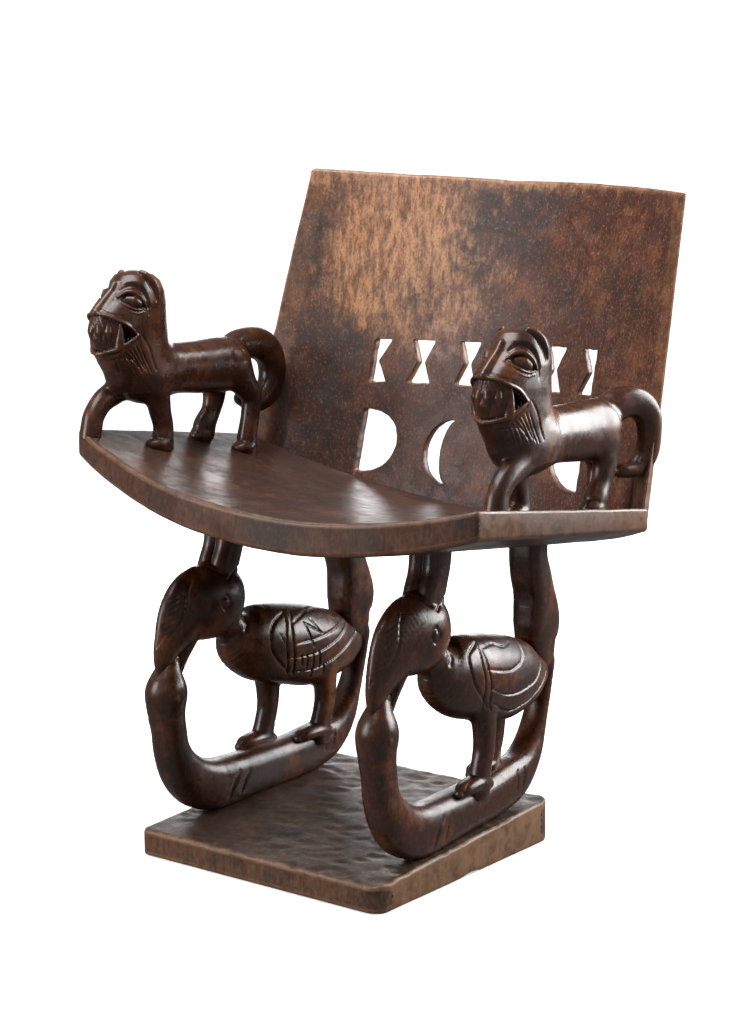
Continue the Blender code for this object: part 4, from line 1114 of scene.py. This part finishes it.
def makeWood(name):
    settings = woods[name]
    wood = bpy.data.materials.new(name)
    wood.use_nodes = True
    nodes, links = wood.node_tree.nodes, wood.node_tree.links
    shader = nodes["Principled BSDF"]

    def node(kind, **values):
        made = nodes.new(kind)
        for key, value in values.items():
            if hasattr(made, key):
                setattr(made, key, value)
            else:
                made.inputs[key.replace("_", " ")].default_value = value
        return made

    def mapped(scale, turn=(0, 0, 0), move=(0, 0, 0)):
        mapping = node("ShaderNodeMapping")
        mapping.inputs["Scale"].default_value = scale
        mapping.inputs["Rotation"].default_value = turn
        mapping.inputs["Location"].default_value = move
        links.new(place.outputs["Object"], mapping.inputs["Vector"])
        return mapping.outputs["Vector"]

    def noise(vector, scale, detail=4.0, rough=0.6):
        made = node("ShaderNodeTexNoise", Scale=scale, Detail=detail, Roughness=rough)
        links.new(vector, made.inputs["Vector"])
        return made.outputs["Fac"]

    def spread(value, low, high, toLow=0.0, toHigh=1.0):
        made = node("ShaderNodeMapRange", interpolation_type="SMOOTHSTEP")
        limits = {"From Min": low, "From Max": high, "To Min": toLow, "To Max": toHigh}
        for key, number in limits.items():
            made.inputs[key].default_value = number
        links.new(value, made.inputs["Value"])
        return made.outputs["Result"]

    def work(operation, first, second):
        made = node("ShaderNodeMath", operation=operation)
        for index, value in enumerate((first, second)):
            if isinstance(value, (int, float)):
                made.inputs[index].default_value = value
            else:
                links.new(value, made.inputs[index])
        return made.outputs["Value"]

    def mix(factor, first, second):
        made = node("ShaderNodeMix", data_type="RGBA")
        for index, value in ((0, factor), (6, first), (7, second)):
            if isinstance(value, (int, float, tuple)):
                made.inputs[index].default_value = value
            else:
                links.new(value, made.inputs[index])
        return made.outputs[2]

    def swayed(value, share):
        return work("MULTIPLY", work("SUBTRACT", value, 0.5), share)

    def tinted(colour, name, amount, share):
        return mix(work("MULTIPLY", amount, share), colour, settings[name])

    place = node("ShaderNodeTexCoord")
    proud = node("ShaderNodeAttribute", attribute_name="wearAndPaintedLight").outputs["Fac"]
    straight = mapped((1, 1, 1))
    blotches = noise(mapped((1, 1, 0.72), (0.2, 0.5, 0.1), (1.7, 0.4, 2.2)), settings["patch"], 6, 0.66)
    warmth = noise(mapped((1, 1, 1), (0, 0, 0), (5.1, 3.3, 0.7)), settings["patch"] * 1.6, 6, 0.66)
    specks = noise(mapped((1, 1, 0.6)), settings["speck"], 4, 0.62)
    clouds = noise(straight, 62.0, 6, 0.72)
    grain = noise(mapped(settings["grain"], (0.02, 0.03, 0.02)), 1.0, 6, 0.70)
    base = settings["base"]
    if "edge base" in settings:
        # The upright faces are paler, with the grain standing in them
        turned = node("ShaderNodeNewGeometry").outputs["Normal"]
        parts = node("ShaderNodeSeparateXYZ")
        links.new(turned, parts.inputs["Vector"])
        level = spread(work("ABSOLUTE", parts.outputs["Z"], 0.0), 0.45, 0.85)
        base = mix(level, settings["edge base"], settings["base"])
        upright = noise(mapped((170, 170, 16)), 1.0, 6, 0.72)
        balance = node("ShaderNodeMix", data_type="FLOAT")
        for index, value in ((0, level), (2, upright), (3, grain)):
            links.new(value, balance.inputs[index])
        grain = balance.outputs[0]

    ragged = work("ADD", blotches, swayed(clouds, 0.35))
    colour = tinted(base, "dark", spread(ragged, 0.47, 0.63), settings["dark share"])
    glow = work("ADD", warmth, swayed(clouds, 0.55))
    colour = tinted(colour, "warm", spread(glow, 0.46, 0.70), settings["warm share"])
    if "worn zone" in settings:
        centre, reach = settings["worn zone"]
        scale = tuple(1 / size for size in reach)
        length = node("ShaderNodeVectorMath", operation="LENGTH")
        move = tuple(-c * k for c, k in zip(centre, scale))
        links.new(mapped(scale, (0, 0, 0), move), length.inputs[0])
        edge = work("ADD", length.outputs["Value"], swayed(blotches, 2.4))
        edge = work("ADD", edge, swayed(clouds, 1.6))
        rubbed = spread(edge, 0.45, 1.25, 0.80, 0.0)
        heights = node("ShaderNodeSeparateXYZ")
        links.new(place.outputs["Object"], heights.inputs["Vector"])
        rim = spread(work("ADD", heights.outputs["Z"], swayed(clouds, 0.05)), *settings["rim"], 0.0, 0.60)
        facing = node("ShaderNodeSeparateXYZ")
        links.new(node("ShaderNodeNewGeometry").outputs["Normal"], facing.inputs["Vector"])
        rubbed = work("MULTIPLY", rubbed, spread(facing.outputs["Y"], -0.3, 0.3, 1.0, 0.0))
        rubbed = work("MAXIMUM", rubbed, rim)
        colour = mix(spread(facing.outputs["Y"], 0.2, 0.7, 0.0, 0.45), colour, settings["dark"])
        colour = tinted(colour, "worn", rubbed, spread(grain, 0.34, 0.62, 1.0, 0.35))
    share = settings["speck share"]
    colour = tinted(colour, "dark", spread(specks, 0.50, 0.64), share)
    colour = tinted(colour, "worn", spread(specks, 0.46, 0.34), share * 0.45)
    colour = mix(spread(grain, 0.46, 0.64, 0.0, 0.38), colour, settings["dark"])
    edges = work("MULTIPLY", spread(proud, 0.22, 0.85), spread(clouds, 0.34, 0.60, 0.2, 1.0))
    colour = tinted(colour, "worn", edges, settings["edge share"])
    # Painted shade: the hollows, where the wear attribute is below 0, are darkened toward near black
    hollow = spread(proud, -0.70, -0.10, 0.80, 0.0)
    colour = mix(hollow, colour, tone(16, 10, 9))
    scratch = noise(mapped((900, 900, 22), (0.35, 0.6, 0.2)), 1.0, 2, 0.5)
    scratches = work("MULTIPLY", spread(scratch, 0.70, 0.76), spread(clouds, 0.45, 0.60, 0.0, 0.45))
    colour = mix(scratches, colour, settings["worn"])
    links.new(colour, shader.inputs["Base Color"])
    low, high = settings["roughness"]
    mood = work("ADD", work("MULTIPLY", blotches, 0.45), work("MULTIPLY", clouds, 0.55))
    links.new(spread(mood, 0.38, 0.62, low, high), shader.inputs["Roughness"])
    height = work("ADD", work("MULTIPLY", grain, 0.5), work("MULTIPLY", clouds, 0.35))
    height = work("ADD", height, work("MULTIPLY", specks, 0.22))
    bump = node("ShaderNodeBump", Strength=settings["bump"], Distance=0.0012)
    links.new(height, bump.inputs["Height"])
    links.new(bump.outputs["Normal"], shader.inputs["Normal"])
    shader.inputs["Specular IOR Level"].default_value = 0.5
    return wood


stageSettings = {"floorRadius": 4.2, "bend": 1.4, "wallTop": 5.5, "around": 64, "glowNear": 0.42,
                 "glowFrom": 0.35, "glowTo": 1.1, "roomStrength": 0.24, "lampAim": (0, -0.08, 0.40)}
lamps = {
    "rightSoftbox": ((1.05, 1.30, 1.05), (1.2, 1.25), 60.0),
    "leftSoftbox": ((-1.05, -1.95, 0.95), (0.7, 1.2), 25.0),
    "rearSoftbox": ((-1.55, 2.05, 0.75), (1.5, 0.9), 15.0),
    "overhead": ((-0.2, -0.55, 2.2), (1.3, 1.3), 46.0)}
view = {"azimuth": 37.39, "elevation": 8.63, "distance": 2.201, "lens": 70.51,
        "target": (0.0347, -0.08325, 0.3876)}


def makeStage():
    # A pale paper bowl: a round floor that bends up into a wall on every side of the chair
    radius, bend, around = stageSettings["floorRadius"], stageSettings["bend"], stageSettings["around"]
    profile = [(0.8, 0.0), (1.6, 0.0), (radius, 0.0)]
    for step in range(1, 13):
        angle = math.radians(90 * step / 12)
        profile.append((radius + bend * math.sin(angle), bend * (1 - math.cos(angle))))
    profile.append((radius + bend, stageSettings["wallTop"]))
    points, faces = [(0.0, 0.0, 0.0)], []
    for away, height in profile:
        for step in range(around):
            angle = 2 * math.pi * step / around
            points.append((away * math.cos(angle), away * math.sin(angle), height))
    for step in range(around):
        faces.append((0, 1 + step, 1 + (step + 1) % around))
    for ring in range(len(profile) - 1):
        low, high = 1 + ring * around, 1 + (ring + 1) * around
        for step in range(around):
            ahead = (step + 1) % around
            faces.append((low + step, high + step, high + ahead, low + ahead))
    mesh = bpy.data.meshes.new("paleSweep")
    mesh.from_pydata(points, [], faces)
    mesh.shade_smooth()
    sweep = bpy.data.objects.new("paleSweep", mesh)
    # The chair is lit and mirrored by the lamps and the room, not by the paper
    sweep.visible_glossy = False
    sweep.visible_diffuse = False
    sweep.visible_shadow = False
    bpy.context.scene.collection.objects.link(sweep)
    paper = bpy.data.materials.new("palePaper")
    paper.use_nodes = True
    shader = paper.node_tree.nodes["Principled BSDF"]
    shader.inputs["Base Color"].default_value = (0.90, 0.90, 0.90, 1)
    shader.inputs["Roughness"].default_value = 0.9
    shader.inputs["Emission Color"].default_value = (1, 1, 1, 1)
    # The paper glows away from the chair, as a backdrop that has lamps of its own does
    nodes, links = paper.node_tree.nodes, paper.node_tree.links
    place, distance = nodes.new("ShaderNodeTexCoord"), nodes.new("ShaderNodeVectorMath")
    distance.operation = "LENGTH"
    fade = nodes.new("ShaderNodeMapRange")
    for key, name in (("From Min", "glowFrom"), ("From Max", "glowTo"), ("To Min", "glowNear")):
        fade.inputs[key].default_value = stageSettings[name]
    links.new(place.outputs["Object"], distance.inputs[0])
    links.new(distance.outputs["Value"], fade.inputs["Value"])
    links.new(fade.outputs["Result"], shader.inputs["Emission Strength"])
    shader.inputs["Specular IOR Level"].default_value = 0.1
    mesh.materials.append(paper)


def makeLight():
    for name, (place, size, power) in lamps.items():
        lamp = bpy.data.lights.new(name, "AREA")
        lamp.shape = "RECTANGLE"
        lamp.size, lamp.size_y = size
        lamp.energy = power
        holder = bpy.data.objects.new(name, lamp)
        holder.location = place
        aim = Vector(stageSettings["lampAim"]) - holder.location
        holder.rotation_euler = aim.to_track_quat("-Z", "Y").to_euler()
        holder.visible_camera = False
        bpy.context.scene.collection.objects.link(holder)
    world = bpy.data.worlds.new("paleRoom")
    world.use_nodes = True
    world.node_tree.nodes["Background"].inputs["Color"].default_value = (1, 1, 1, 1)
    world.node_tree.nodes["Background"].inputs["Strength"].default_value = stageSettings["roomStrength"]
    bpy.context.scene.world = world


def makeCamera():
    a, e = math.radians(view["azimuth"]), math.radians(view["elevation"])
    right = Vector((math.cos(a), math.sin(a), 0))
    back = Vector((math.sin(a) * math.cos(e), -math.cos(a) * math.cos(e), math.sin(e)))
    up = back.cross(right)
    camera = bpy.data.cameras.new("camera")
    camera.sensor_fit = "VERTICAL"
    camera.sensor_height = 36
    camera.lens = view["lens"]
    holder = bpy.data.objects.new("camera", camera)
    turned = Matrix((right, up, back)).transposed().to_4x4()
    place = Vector(view["target"]) + back * view["distance"]
    holder.matrix_world = Matrix.Translation(place) @ turned
    bpy.context.scene.collection.objects.link(holder)
    bpy.context.scene.camera = holder


def finishPiece(piece, material):
    if not piece.data.materials:
        piece.data.materials.append(material)
    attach(piece, "root")
    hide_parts("chair")
    print(piece.name, len(piece.data.polygons), "faces")


bpy.context.scene.view_settings.view_transform = "Standard"
materials = {name: makeWood(name) for name in woods}
print("materials made")
finishPiece(makeBase(), materials["baseWood"])
finishPiece(makeSeat(), materials["seatWood"])
finishPiece(makeBack(), materials["backWood"])
print("boards made")
for figureSide in (1, -1):
    finishPiece(carveSnake(figureSide), materials["figureWood"])
    finishPiece(carveBird(figureSide), materials["figureWood"])
    finishPiece(carveLion(figureSide, False), materials["figureWood"])
    finishPiece(carveLion(figureSide, True), materials["figureWood"])
print("figures carved")
smallTree = rowTree(materials["figureWood"], teeth["sides"])
for figureSide, word in ((1, "Right"), (-1, "Left")):
    teethRow = makeRow("smallTeeth" + word, smallTree, toothLines(figureSide), teeth)
    finishPiece(teethRow, materials["figureWood"])
print("small teeth set")
makeStage()
makeLight()
makeCamera()
bpy.context.view_layer.update()
print("stage, light and camera set")
